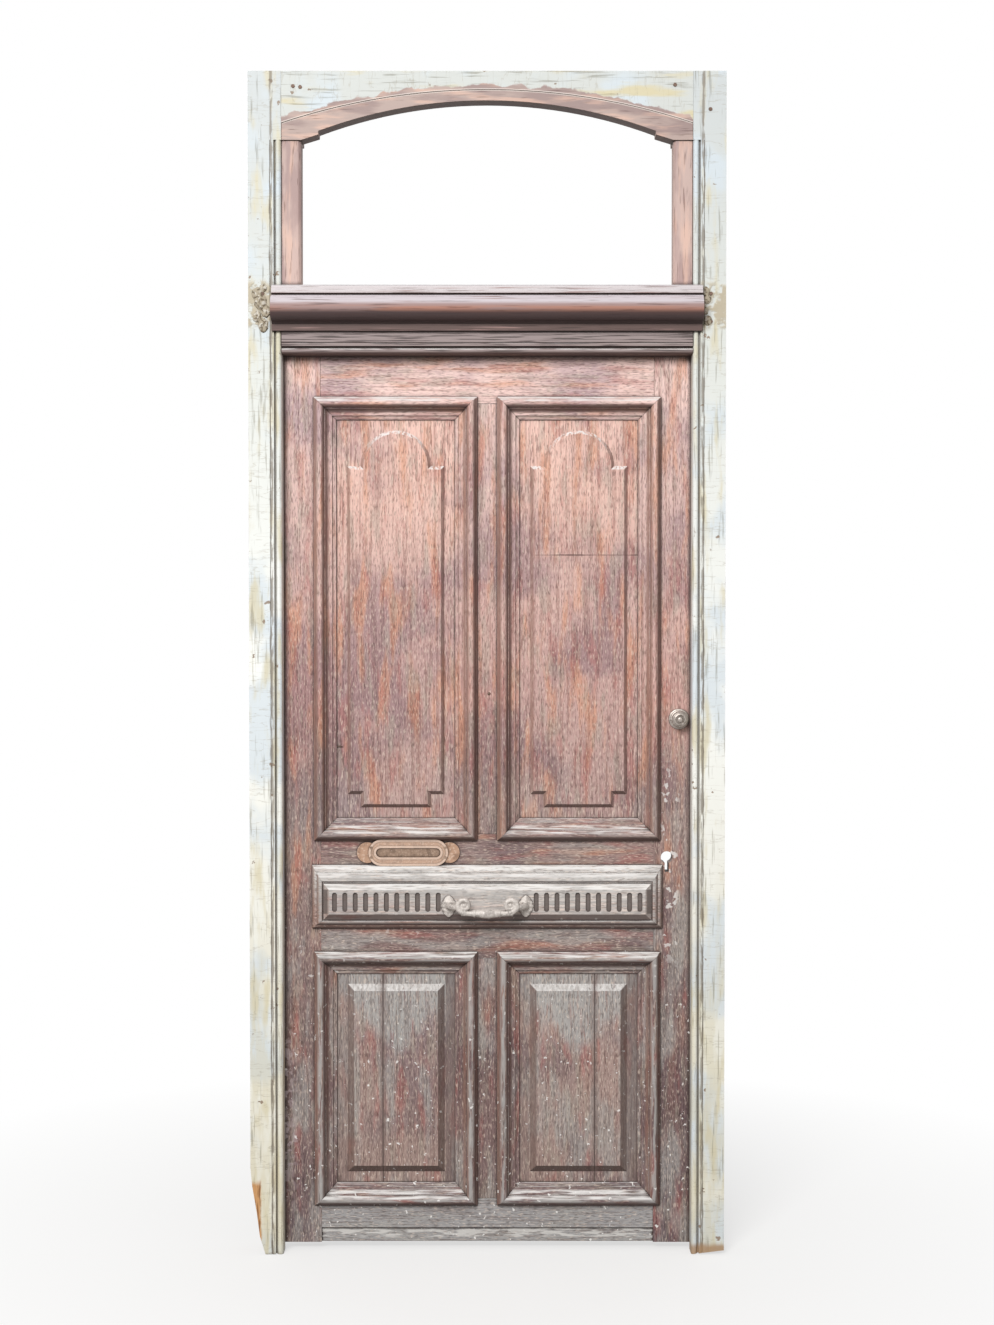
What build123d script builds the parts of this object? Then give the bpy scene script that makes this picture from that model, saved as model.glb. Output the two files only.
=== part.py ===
from build123d import *
import os
from math import atan2, degrees

# Panelled oak front door, hung in its arched frame.
# Millimetres. X runs to the right seen from outside, Y into the house and Z up.
# The origin is the middle of the frame's foot, on the plane of the frame's front faces.

os.makedirs("parts", exist_ok=True)

# Frame
clear_width = 920.0
clear_height = 2026.0
head_rail_height = 153.0
frame_depth = 86.0
jamb_face = 74.0
bead_radius = 7.0
quirk_width = 3.0
second_quirk_offset = 8.0
second_quirk_width = 1.6
frame_tenon_length = 44.0
frame_tenon_thickness = 22.0
frame_tenon_inset = 16.0

# Break at the outer corner of the hinge jamb's foot, and the slanting cut under the lock jamb.
# The points of the break are shares of its width and of its height.
break_height = 205.0
break_width = 34.0
break_points = ((0.12, 0.75), (0.42, 0.46), (0.62, 0.2))
foot_slant = 9.0
cut_margin = 1.0

# Transom and its round nosing
transom_height = 152.0
nosing_overhang = 21.0
nosing_radius = 29.5
nosing_neck = 14.0
nosing_rise = 2.0
nosing_top_height = 25.0
nosing_fillet_out = 6.0
nosing_fillet_low = 3.0
nosing_fillet_high = 10.5
nosing_step_out = 3.0
nosing_step_low = 12.5
nosing_step_high = 19.0
nosing_slope_high = 21.0
nosing_bottom_height = 20.0
nosing_bottom_projection = 8.0
nosing_bottom_step = 4.0
nosing_bottom_slope = 2.0

# Fanlight
fanlight_stile_width = 44.0
fanlight_stile_setback = 6.0
fanlight_stile_back = 11.0
fanlight_height = 324.0
arch_shoulder_run = 39.0
arch_shoulder_rise = 12.0
arch_step = 8.0
arch_rise = 68.0
arch_band = 24.0
arch_band_end = 38.0
arch_band_depth = 3.0
glazing_front = 50.0
glazing_rebate = 14.0

# Leaf
leaf_thickness = 44.0
side_cover = 12.5
top_cover = 9.0
leaf_gap = 3.0
stop_gap = 1.0
floor_gap = 15.0
stile_width = 95.5
mullion_width = 75.0
bottom_rail_width = 100.0
lower_opening = 548.0
lower_middle_rail_width = 84.0
cross_opening = 113.0
upper_middle_rail_width = 86.0
top_rail_width = 116.0
bottom_strip_height = 33.0
bottom_strip_setback = 7.0
tenon_thickness = 14.0
tenon_length = 60.0
tenon_inset = 14.0
mullion_tenon_length = 30.0

# Mouldings that stand proud round the four tall panels
moulding_overlap = 15.5
moulding_width = 51.0
moulding_projection = 20.0
panel_setback = 8.0
panel_edge = 12.0
groove_depth = 13.5
panel_play = 2.0
moulding_back = 12.0
moulding_back_chamfer = 6.0
moulding_edge_drop = 2.5
moulding_edge_slope = 4.5

# Its section, as shares of its width and of its projection
tall_lip = 0.2
tall_torus = ((0.09, 0.45), (0.28, 1.0), (0.48, 0.62))
tall_cove = ((0.53, 0.45), (0.63, 0.12), (0.83, 0.02))

# Raised fields
field_margin = 24.0
upper_field_rise = 6.0
upper_bevel = 8.0
shoulder = 30.0
lower_field_rise = 8.0
lower_bevel = 15.0

# Fluted cross panel and the moulding round it
cross_overlap_side = 20.0
cross_overlap_top = 16.0
cross_overlap_bottom = 15.0
cross_side_width = 27.0
cross_top_width = 41.0
cross_bottom_width = 22.0
cross_projection = 20.0
cross_bevel = 13.0
cross_bevel_rise = 8.0
cross_panel_back = 12.0
cross_play = 1.0
flute_pitch = 23.4
flute_width = 11.0
flute_end_margin = 6.0
flute_corner = 3.2
flute_depth = 4.5
first_flute_from_field_end = 12.5
flute_handle_gap = 0.5

# Section of its moulding, as shares of its width and of its projection
cross_cove = ((0.0, 0.15), (0.14, 0.46), (0.42, 0.6))
cross_roll = ((0.44, 0.72), (0.6, 0.93), (0.86, 1.0))
cross_fillet = (0.92, 0.88)

# Hinges
hinge_end_distance = 250.0
hinge_length = 110.0
knuckle_radius = 7.0
knuckle_standoff = 1.0
hinge_plate = 3.0
hinge_plate_reach = 40.0
knuckle_play = 0.3
hinge_pin_radius = 4.0
hinge_pin_play = 0.05
hinge_pin_height = 40.0
hinge_bore_extra = 4.0
hinge_screw_spacing = 34.0
hinge_screw_radius = 2.2
hinge_screw_head = 4.2
hinge_screw_head_depth = 2.0
hinge_screw_length = 26.0
screw_play = 0.1
screw_sides = 6

# Letter plate, with its flap behind the opening
letter_inset = 198.0
letter_offset = 1.0
plate_length = 180.0
plate_height = 60.0
plate_thickness = 7.0
ear_radius = 23.5
ear_offset = 93.0
ear_thickness = 4.0
letter_opening_length = 146.0
letter_opening_height = 21.0
rim_width = 5.0
rim_height = 1.5
plate_lip = 2.5
flap_length = 150.0
flap_height = 25.0
flap_thickness = 3.0
flap_play = 1.0
pocket_play = 1.0
flap_pin_radius = 1.2
flap_pin_play = 0.05
flap_knuckle_radius = 2.2
flap_pin_seat = 3.0
letter_slot_margin = 1.0
plate_let_in_play = 0.3
plate_screw_offset_x = 84.0
plate_screw_offset_z = 11.0
plate_screw_radius = 1.6
plate_screw_head = 3.0
plate_screw_head_depth = 1.4
plate_screw_length = 22.0

# Keyhole left open through the lock stile
keyhole_inset = 65.5
keyhole_offset = -10.0
keyhole_radius = 13.5
keyhole_slot_width = 9.0
keyhole_slot_drop = 33.0

# Pull knob
knob_inset = 38.5
knob_height = 1192.0
rose_radius = 23.0
rose_thickness = 4.0
rose_rim_thickness = 2.0
rose_front_radius = 18.5
knob_radius = 18.5
knob_neck_radius = 8.0
knob_projection = 30.0
knob_head_thickness = 15.0
knob_step_radius = 15.0
knob_step_height = 2.5
knob_ring_radius = 11.0
knob_ring_depth = 1.5
knob_boss_radius = 6.0
knob_boss_height = 3.0
knob_tang_half = 3.5
knob_tang_length = 26.0
knob_tang_play = 0.1

# Pull handle, one casting
handle_offset = -8.5
handle_foot_x = 87.0
handle_foot_width = 34.0
handle_foot_height = 52.0
handle_foot_thickness = 5.0
handle_arm_width = 9.0
handle_arm_height = 11.0
handle_grip_drop = 11.0
handle_grip_half = 66.0
handle_grip_radius = 6.8
handle_collar_half = 27.0
handle_collar_radius = 8.0
handle_swell_half = 15.0
handle_swell_radius = 9.5
handle_standoff = 38.0
scroll_radius = 12.5
scroll_thickness = 9.0
scroll_x = 52.0
scroll_rise = 8.0
scroll_neck_radius = 7.0
scroll_neck_inset = 6.0
bolt_half = 3.5
bolt_nut_half = 7.0
bolt_nut_thickness = 6.0
bolt_end = 2.0
bolt_washer_half = 11.0
bolt_washer_thickness = 2.0

# Nails left in the frame's faces: side, distance in from the frame's outer edge, and either
# the distance below the frame's top or the height above the clear opening
head_nails = ((-1, 101.0, 34.0), (-1, 117.0, 36.0), (1, 115.0, 31.0), (1, 36.0, 85.0))
joint_nails = ((-1, 32.0, 134.0), (-1, 32.0, 52.0), (1, 34.0, 134.0), (1, 34.0, 72.0))
nail_head_radius = 4.5
nail_head_height = 1.6
nail_head_sides = 6
nail_shank_half = 1.8
nail_length = 30.0

# Worked out from the sizes above
half_clear = clear_width / 2
jamb_outer = half_clear + jamb_face
rebate_side = half_clear + side_cover + leaf_gap
leaf_front = frame_depth - leaf_thickness
lip_back = leaf_front - stop_gap
leaf_half = half_clear + side_cover
leaf_bottom = floor_gap
leaf_top = clear_height + top_cover
leaf_height = leaf_top - leaf_bottom
rebate_top = leaf_top + leaf_gap
stile_inner = leaf_half - stile_width
transom_top = clear_height + transom_height
fanlight_top = transom_top + fanlight_height
frame_height = fanlight_top + head_rail_height
arch_half_span = half_clear - fanlight_stile_width - arch_shoulder_run
arch_spring = fanlight_top + arch_shoulder_rise + arch_step
arch_crown = arch_spring + arch_rise
bottom_rail_top = leaf_bottom + bottom_rail_width
lower_middle_bottom = bottom_rail_top + lower_opening
lower_middle_top = lower_middle_bottom + lower_middle_rail_width
upper_middle_bottom = lower_middle_top + cross_opening
upper_middle_top = upper_middle_bottom + upper_middle_rail_width
top_rail_bottom = leaf_top - top_rail_width
upper_middle_z = (upper_middle_bottom + upper_middle_top) / 2
letter_x = -stile_inner + letter_inset
letter_z = upper_middle_z + letter_offset
keyhole_x = leaf_half - keyhole_inset
keyhole_z = upper_middle_z + keyhole_offset
knob_x = leaf_half - knob_inset
knob_z = leaf_bottom + knob_height
cross_low = lower_middle_top + cross_bottom_width - cross_overlap_bottom
cross_high = upper_middle_bottom - cross_top_width + cross_overlap_top
cross_middle_z = (cross_low + cross_high) / 2
handle_z = cross_middle_z + handle_offset
moulding_sight = moulding_width - moulding_overlap
panel_front = leaf_front + panel_setback
panel_back = panel_front + panel_edge
tenon_middle = leaf_front + leaf_thickness / 2
frame_tenon_middle = (lip_back + frame_depth) / 2
hinge_heights = (hinge_end_distance, leaf_height / 2, leaf_height - hinge_end_distance)
hinge_x = -(leaf_half + leaf_gap / 2)
hinge_y = frame_depth + knuckle_standoff + knuckle_radius
cross_field_y = leaf_front - cross_projection - cross_bevel_rise
nail_places = [
    (side * (jamb_outer - inset), frame_height - drop) for side, inset, drop in head_nails
] + [
    (side * (jamb_outer - inset), clear_height + rise) for side, inset, rise in joint_nails
]


def block(x0, x1, y0, y1, z0, z1, mode=Mode.ADD):
    """Box between two corners, added to or cut from the part being built."""
    with Locations(((x0 + x1) / 2, (y0 + y1) / 2, (z0 + z1) / 2)):
        Box(x1 - x0, y1 - y0, z1 - z0, mode=mode)


def finish(part, name):
    """Label a finished piece and write it."""
    part.label = name
    export_step(part, f"parts/{name}.step")


# Jambs

def tenon_blocks(side, z0, z1, mode):
    """Tenon of the head rail or transom, or its mortise in the jamb on that side."""
    x0, x1 = sorted((side * rebate_side, side * (rebate_side + frame_tenon_length)))
    y0 = frame_tenon_middle - frame_tenon_thickness / 2
    y1 = frame_tenon_middle + frame_tenon_thickness / 2
    block(x0, x1, y0, y1, z0 + frame_tenon_inset, z1 - frame_tenon_inset, mode)


def nail_shank(x, z, mode):
    """Square shank of a nail driven in from the frame's face, or its hole."""
    half = nail_shank_half
    block(x - half, x + half, 0, nail_length, z - half, z + half, mode)


def nail_holes(side):
    """Nail holes in one jamb (side -1 or 1) or in the head rail (side 0)."""
    for x, z in nail_places:
        nail_side = 0 if abs(x) < half_clear else (1 if x > 0 else -1)
        if nail_side == side:
            nail_shank(x, z, Mode.SUBTRACT)


def jamb(side):
    """One jamb: rebated for the leaf, with a bead along the inner edge of its face."""
    with BuildPart() as post:
        with BuildSketch(Plane.XY):
            with BuildLine():
                Polyline(
                    (side * jamb_outer, 0),
                    (side * half_clear, 0),
                    (side * half_clear, lip_back),
                    (side * rebate_side, lip_back),
                    (side * rebate_side, frame_depth),
                    (side * jamb_outer, frame_depth),
                    close=True,
                )
            make_face()
        extrude(amount=frame_height)
        with BuildSketch(Plane.XY):
            cut_width = 2 * bead_radius + quirk_width
            with Locations((side * (half_clear + cut_width / 2), bead_radius / 2)):
                Rectangle(cut_width, bead_radius)
            with Locations((side * (half_clear + bead_radius), bead_radius)):
                Circle(bead_radius, mode=Mode.SUBTRACT)
            with Locations((side * (half_clear + cut_width + second_quirk_offset), 0)):
                Rectangle(second_quirk_width, 2 * second_quirk_width)
        extrude(amount=fanlight_top, mode=Mode.SUBTRACT)
        tenon_blocks(side, fanlight_top, frame_height, Mode.SUBTRACT)
        tenon_blocks(side, rebate_top, transom_top, Mode.SUBTRACT)
        nail_holes(side)
        if side < 0:
            with BuildSketch(Plane.XZ):
                with BuildLine():
                    Polyline(
                        (-jamb_outer - cut_margin, break_height),
                        *[
                            (-jamb_outer + across * break_width, up * break_height)
                            for across, up in break_points
                        ],
                        (-jamb_outer + break_width, -cut_margin),
                        (-jamb_outer - cut_margin, -cut_margin),
                        close=True,
                    )
                make_face()
            extrude(amount=-frame_depth, mode=Mode.SUBTRACT)
            for height in hinge_heights:
                hinge_recess(height, -1)
        else:
            with BuildSketch(Plane.XZ):
                with BuildLine():
                    Polyline(
                        (half_clear, 0),
                        (jamb_outer, foot_slant),
                        (jamb_outer, 0),
                        close=True,
                    )
                make_face()
            extrude(amount=-frame_depth, mode=Mode.SUBTRACT)
    return post.part


# Hinges, with the pin on the frame's half and the barrel on the leaf's

def hinge_screw_heights(height):
    """Heights of the screws in one hinge plate."""
    middle = leaf_bottom + height
    return (middle - hinge_screw_spacing, middle, middle + hinge_screw_spacing)


def screw(place, head, shank, play, mode):
    """Screw along the normal of its plane, its head let in flush, or its hole.

    head and shank each hold a radius and a length from the plane.
    """
    for radius, length in (head, shank):
        with BuildSketch(place) as outline:
            RegularPolygon(radius + play, screw_sides, major_radius=False)
        extrude(outline.sketch, amount=length + play, mode=mode)


def hinge_screws(height, side, play, mode):
    """Screws through one plate of a hinge, or their holes."""
    face = hinge_x + side * leaf_gap / 2
    screw_y = hinge_y - hinge_plate_reach + (hinge_plate_reach - knuckle_radius) / 2
    head = (hinge_screw_head, hinge_screw_head_depth)
    shank = (hinge_screw_radius, hinge_screw_length)
    for z in hinge_screw_heights(height):
        place = Plane(origin=(face, screw_y, z), x_dir=(0, 1, 0), z_dir=(side, 0, 0))
        screw(place, head, shank, play, mode)


def hinge_recess(height, side):
    """Seat of a hinge plate and its screw holes, cut in the jamb (-1) or the leaf (1)."""
    face = hinge_x + side * leaf_gap / 2
    x0, x1 = sorted((face, face + side * hinge_plate))
    middle = leaf_bottom + height
    y0 = hinge_y - hinge_plate_reach
    block(x0, x1, y0, frame_depth, middle - hinge_length / 2, middle + hinge_length / 2, Mode.SUBTRACT)
    hinge_screws(height, side, screw_play, Mode.SUBTRACT)


def hinge_plate_solid(height, side):
    """Flat plate of one hinge half, notched clear of the other half's knuckle."""
    face = hinge_x + side * leaf_gap / 2
    x0, x1 = sorted((face, face + side * hinge_plate))
    middle = leaf_bottom + height
    block(x0, x1, hinge_y - hinge_plate_reach, hinge_y, middle - hinge_length / 2, middle + hinge_length / 2)
    other = middle - side * hinge_length / 4
    notch_half = hinge_length / 4 + knuckle_play
    notch_y = hinge_y - knuckle_radius - knuckle_play
    block(x0, x1, notch_y, hinge_y, other - notch_half, other + notch_half, Mode.SUBTRACT)


def pin_half(height):
    """Frame's half of a lift-off hinge: plate, lower knuckle and standing pin."""
    middle = leaf_bottom + height
    with BuildPart() as half:
        hinge_plate_solid(height, -1)
        with Locations((hinge_x, hinge_y, middle - hinge_length / 2)):
            Cylinder(
                knuckle_radius,
                hinge_length / 2,
                align=(Align.CENTER, Align.CENTER, Align.MIN),
            )
            Cylinder(
                hinge_pin_radius,
                hinge_length / 2 + hinge_pin_height,
                align=(Align.CENTER, Align.CENTER, Align.MIN),
            )
        hinge_screws(height, -1, screw_play, Mode.SUBTRACT)
    return half.part


def barrel_half(height):
    """Leaf's half of a lift-off hinge: plate and upper knuckle, bored for the pin."""
    middle = leaf_bottom + height
    with BuildPart() as half:
        hinge_plate_solid(height, 1)
        with Locations((hinge_x, hinge_y, middle)):
            Cylinder(
                knuckle_radius,
                hinge_length / 2,
                align=(Align.CENTER, Align.CENTER, Align.MIN),
            )
            Cylinder(
                hinge_pin_radius + hinge_pin_play,
                hinge_pin_height + hinge_bore_extra,
                align=(Align.CENTER, Align.CENTER, Align.MIN),
                mode=Mode.SUBTRACT,
            )
        hinge_screws(height, 1, screw_play, Mode.SUBTRACT)
    return half.part


def screw_group(side):
    """All screws of the frame's (-1) or the leaf's (1) hinge halves."""
    with BuildPart() as group:
        for height in hinge_heights:
            hinge_screws(height, side, 0, Mode.ADD)
    return group.part


# Head rail, with the arch of the fanlight cut in its lower edge

def head_rail():
    with BuildPart() as rail:
        block(-half_clear, half_clear, 0, frame_depth, fanlight_top, frame_height)
        for side in (-1, 1):
            x0, x1 = sorted((side * half_clear, side * rebate_side))
            block(x0, x1, lip_back, frame_depth, fanlight_top, frame_height)
            tenon_blocks(side, fanlight_top, frame_height, Mode.ADD)
        with BuildSketch(Plane.XZ):
            with BuildLine():
                arch_top = fanlight_top + arch_shoulder_rise
                ThreePointArc(
                    (-arch_half_span, arch_spring), (0, arch_crown), (arch_half_span, arch_spring)
                )
                Polyline(
                    (arch_half_span, arch_spring),
                    (arch_half_span, arch_top),
                    (half_clear - fanlight_stile_width, fanlight_top),
                    (-half_clear + fanlight_stile_width, fanlight_top),
                    (-arch_half_span, arch_top),
                    (-arch_half_span, arch_spring),
                )
            make_face()
        extrude(amount=-frame_depth, mode=Mode.SUBTRACT)
        # Glazing rebate behind the arch, wider than it all round
        with BuildSketch(Plane.XZ.offset(-glazing_front)):
            with BuildLine():
                ThreePointArc(
                    (-arch_half_span - arch_shoulder_run, arch_spring),
                    (0, arch_crown + glazing_rebate),
                    (arch_half_span + arch_shoulder_run, arch_spring),
                )
                Polyline(
                    (arch_half_span + arch_shoulder_run, arch_spring),
                    (arch_half_span + arch_shoulder_run, fanlight_top),
                    (-arch_half_span - arch_shoulder_run, fanlight_top),
                    (-arch_half_span - arch_shoulder_run, arch_spring),
                )
            make_face()
        extrude(amount=-(frame_depth - glazing_front), mode=Mode.SUBTRACT)
        # Band along the arch, a little below the painted face
        with BuildSketch(Plane.XZ):
            with BuildLine():
                ThreePointArc(
                    (-half_clear, fanlight_top + arch_band_end),
                    (0, arch_crown + arch_band),
                    (half_clear, fanlight_top + arch_band_end),
                )
                Polyline(
                    (half_clear, fanlight_top + arch_band_end),
                    (half_clear, fanlight_top),
                    (-half_clear, fanlight_top),
                    (-half_clear, fanlight_top + arch_band_end),
                )
            make_face()
        extrude(amount=-arch_band_depth, mode=Mode.SUBTRACT)
        nail_holes(0)
    return rail.part


# Transom bar, rebated below for the leaf and above for the glass

def transom_bar():
    with BuildPart() as bar:
        with BuildSketch(Plane.YZ):
            with BuildLine():
                Polyline(
                    (0, clear_height),
                    (lip_back, clear_height),
                    (lip_back, rebate_top),
                    (frame_depth, rebate_top),
                    (frame_depth, transom_top - glazing_rebate),
                    (glazing_front, transom_top - glazing_rebate),
                    (glazing_front, transom_top),
                    (0, transom_top),
                    close=True,
                )
            make_face()
        extrude(amount=half_clear, both=True)
        with BuildSketch(Plane.YZ):
            cut_height = 2 * bead_radius + quirk_width
            with Locations((bead_radius / 2, clear_height + cut_height / 2)):
                Rectangle(bead_radius, cut_height)
            with Locations((bead_radius, clear_height + bead_radius)):
                Circle(bead_radius, mode=Mode.SUBTRACT)
            with Locations((0, clear_height + cut_height + second_quirk_offset)):
                Rectangle(2 * second_quirk_width, second_quirk_width)
        extrude(amount=half_clear, both=True, mode=Mode.SUBTRACT)
        for side in (-1, 1):
            x0, x1 = sorted((side * half_clear, side * rebate_side))
            block(x0, x1, lip_back, frame_depth, rebate_top, transom_top - glazing_rebate)
            tenon_blocks(side, rebate_top, transom_top, Mode.ADD)
    return bar.part


# Round nosing planted across the transom and onto the faces of the jambs

def transom_nosing():
    top = transom_top + nosing_rise
    torus_top = top - nosing_top_height
    torus_bottom = torus_top - 2 * nosing_radius
    bottom = torus_bottom - nosing_bottom_height
    with BuildPart() as nosing:
        with BuildSketch(Plane.YZ):
            with BuildLine():
                fillets = Polyline(
                    (-nosing_neck, torus_top),
                    (-nosing_neck - nosing_fillet_out, torus_top + nosing_fillet_low),
                    (-nosing_neck - nosing_fillet_out, torus_top + nosing_fillet_high),
                    (-nosing_neck - nosing_step_out, torus_top + nosing_step_low),
                    (-nosing_neck - nosing_step_out, torus_top + nosing_step_high),
                    (-nosing_neck, torus_top + nosing_slope_high),
                    (0, top),
                    (0, bottom),
                    (-nosing_bottom_projection, bottom),
                    (-nosing_bottom_projection, torus_bottom - nosing_bottom_step),
                    (-nosing_neck, torus_bottom - nosing_bottom_slope),
                    (-nosing_neck, torus_bottom),
                )
                ThreePointArc(
                    fillets @ 1,
                    (-nosing_neck - nosing_radius, torus_bottom + nosing_radius),
                    fillets @ 0,
                )
            make_face()
        extrude(amount=half_clear + nosing_overhang, both=True)
    return nosing.part


# Fanlight stiles, one beside each jamb, rebated for the glass

def fanlight_stile(side):
    inner = half_clear - fanlight_stile_width
    back = frame_depth - fanlight_stile_back
    with BuildPart() as stile:
        with BuildSketch(Plane.XY.offset(transom_top)):
            with BuildLine():
                Polyline(
                    (side * half_clear, fanlight_stile_setback),
                    (side * inner, fanlight_stile_setback),
                    (side * inner, glazing_front),
                    (side * (inner + glazing_rebate), glazing_front),
                    (side * (inner + glazing_rebate), back),
                    (side * rebate_side, back),
                    (side * rebate_side, lip_back),
                    (side * half_clear, lip_back),
                    close=True,
                )
            make_face()
        extrude(amount=fanlight_height)
        x0, x1 = sorted((side * (inner + glazing_rebate), side * rebate_side))
        block(x0, x1, glazing_front, back, transom_top - glazing_rebate, transom_top)
        front_arris = stile.edges().filter_by(Axis.Z).filter_by_position(
            Axis.Y, fanlight_stile_setback, fanlight_stile_setback
        )
        chamfer(front_arris.sort_by(Axis.X)[0 if side > 0 else -1], fanlight_stile_setback)
    return stile.part


def nail_group():
    """Hand-made nails: square shanks and flat faceted heads, proud of the frame's faces."""
    with BuildPart() as group:
        for x, z in nail_places:
            with BuildSketch(Plane.XZ):
                with Locations((x, z)):
                    RegularPolygon(nail_head_radius, nail_head_sides)
            extrude(amount=nail_head_height)
            nail_shank(x, z, Mode.ADD)
    return group.part


# Framing of the leaf

def rail_tenons(z0, z1, mode, sides=(-1, 1)):
    """Tenons of a rail, or their mortises in the stiles."""
    for side in sides:
        x0, x1 = sorted((side * stile_inner, side * (stile_inner + tenon_length)))
        block(
            x0,
            x1,
            tenon_middle - tenon_thickness / 2,
            tenon_middle + tenon_thickness / 2,
            z0 + tenon_inset,
            z1 - tenon_inset,
            mode,
        )


def mullion_tenon(z0, z1, mode):
    """Tenon of a mullion, or its mortise in a rail."""
    half = mullion_width / 2 - tenon_inset
    block(-half, half, tenon_middle - tenon_thickness / 2, tenon_middle + tenon_thickness / 2, z0, z1, mode)


rail_places = {
    "bottom_rail": (leaf_bottom, bottom_rail_top),
    "lower_middle_rail": (lower_middle_bottom, lower_middle_top),
    "upper_middle_rail": (upper_middle_bottom, upper_middle_top),
    "top_rail": (top_rail_bottom, leaf_top),
}


def keyhole():
    """Hole left where the lock was, cut through the part being built."""
    with Locations(Location((keyhole_x, frame_depth, keyhole_z), (90, 0, 0))):
        Cylinder(
            keyhole_radius,
            leaf_thickness,
            align=(Align.CENTER, Align.CENTER, Align.MIN),
            mode=Mode.SUBTRACT,
        )
    block(
        keyhole_x - keyhole_slot_width / 2,
        keyhole_x + keyhole_slot_width / 2,
        leaf_front,
        frame_depth,
        keyhole_z - keyhole_slot_drop,
        keyhole_z,
        Mode.SUBTRACT,
    )


def stile(side):
    """Hinge stile (-1) or lock stile (1), mortised for the rails."""
    x0, x1 = sorted((side * stile_inner, side * leaf_half))
    with BuildPart() as post:
        block(x0, x1, leaf_front, frame_depth, leaf_bottom, leaf_top)
        for z0, z1 in rail_places.values():
            rail_tenons(z0, z1, Mode.SUBTRACT, (side,))
        if side < 0:
            for height in hinge_heights:
                hinge_recess(height, 1)
        else:
            keyhole()
            knob_tang(0, knob_tang_length + knob_tang_play, knob_tang_play, Mode.SUBTRACT)
    return post.part


def rail(name):
    """One rail of the leaf with its tenons, and the mortises of the mullions."""
    z0, z1 = rail_places[name]
    with BuildPart() as bar:
        block(-stile_inner, stile_inner, leaf_front, frame_depth, z0, z1)
        rail_tenons(z0, z1, Mode.ADD)
        if name == "bottom_rail":
            mullion_tenon(z1 - mullion_tenon_length, z1, Mode.SUBTRACT)
            block(
                -stile_inner,
                stile_inner,
                leaf_front,
                leaf_front + bottom_strip_setback,
                z0,
                z0 + bottom_strip_height,
                Mode.SUBTRACT,
            )
        if name == "lower_middle_rail":
            mullion_tenon(z0, z0 + mullion_tenon_length, Mode.SUBTRACT)
        if name == "upper_middle_rail":
            mullion_tenon(z1 - mullion_tenon_length, z1, Mode.SUBTRACT)
            keyhole()
            slot_half = flap_length / 2 + pocket_play + letter_slot_margin
            slot_rise = flap_height / 2 + pocket_play + letter_slot_margin
            block(
                letter_x - slot_half,
                letter_x + slot_half,
                leaf_front,
                frame_depth,
                letter_z - slot_rise,
                letter_z + slot_rise,
                Mode.SUBTRACT,
            )
            plate_screws(screw_play, Mode.SUBTRACT)
        if name == "top_rail":
            mullion_tenon(z0, z0 + mullion_tenon_length, Mode.SUBTRACT)
    return bar.part


def mullion(z0, z1):
    """Upright between two panels, tenoned into the rails above and below it."""
    with BuildPart() as post:
        block(-mullion_width / 2, mullion_width / 2, leaf_front, frame_depth, z0, z1)
        mullion_tenon(z0 - mullion_tenon_length, z0, Mode.ADD)
        mullion_tenon(z1, z1 + mullion_tenon_length, Mode.ADD)
    return post.part


# Mitred mouldings

def profile_point(start, width, projection, shares):
    """Point of a moulding's section, from shares of its width and of its projection."""
    across, out = shares
    return (start + across * width, leaf_front - out * projection)


def tall_profile():
    """Outline of the tall panels' moulding: distance in from the framing, and Y."""
    size = (-moulding_overlap, moulding_width, moulding_projection)
    torus = [profile_point(*size, shares) for shares in tall_torus]
    cove = [profile_point(*size, shares) for shares in tall_cove]
    inner = moulding_sight
    edge_y = leaf_front + moulding_edge_drop
    back_y = frame_depth - moulding_back
    with BuildLine(mode=Mode.PRIVATE) as outline:
        Polyline(
            (0, leaf_front),
            (-moulding_overlap, leaf_front),
            profile_point(*size, (0, tall_lip)),
            torus[0],
        )
        ThreePointArc(*torus)
        Polyline(torus[2], (torus[2][0], cove[0][1]), cove[0])
        ThreePointArc(*cove)
        Polyline(
            cove[2],
            (cove[2][0], edge_y),
            (inner, leaf_front + moulding_edge_slope),
            (inner, panel_front),
            (inner - groove_depth, panel_front),
            (inner - groove_depth, panel_back),
            (inner, panel_back),
            (inner, back_y - moulding_back_chamfer),
            (inner - moulding_back_chamfer, back_y),
            (0, back_y),
            (0, leaf_front),
        )
    return outline.line


def cross_profile(overlap, width):
    """Outline of the cross panel's moulding, which rises from the framing to the panel."""
    size = (-overlap, width, cross_projection)
    cove = [profile_point(*size, shares) for shares in cross_cove]
    roll = [profile_point(*size, shares) for shares in cross_roll]
    fillet = profile_point(*size, cross_fillet)
    inner = width - overlap
    with BuildLine(mode=Mode.PRIVATE) as outline:
        Polyline((inner, leaf_front), (-overlap, leaf_front), cove[0])
        ThreePointArc(*cove)
        Polyline(cove[2], roll[0])
        ThreePointArc(*roll)
        Polyline(roll[2], fillet, (inner, fillet[1]), (inner, leaf_front))
    return outline.line


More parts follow.
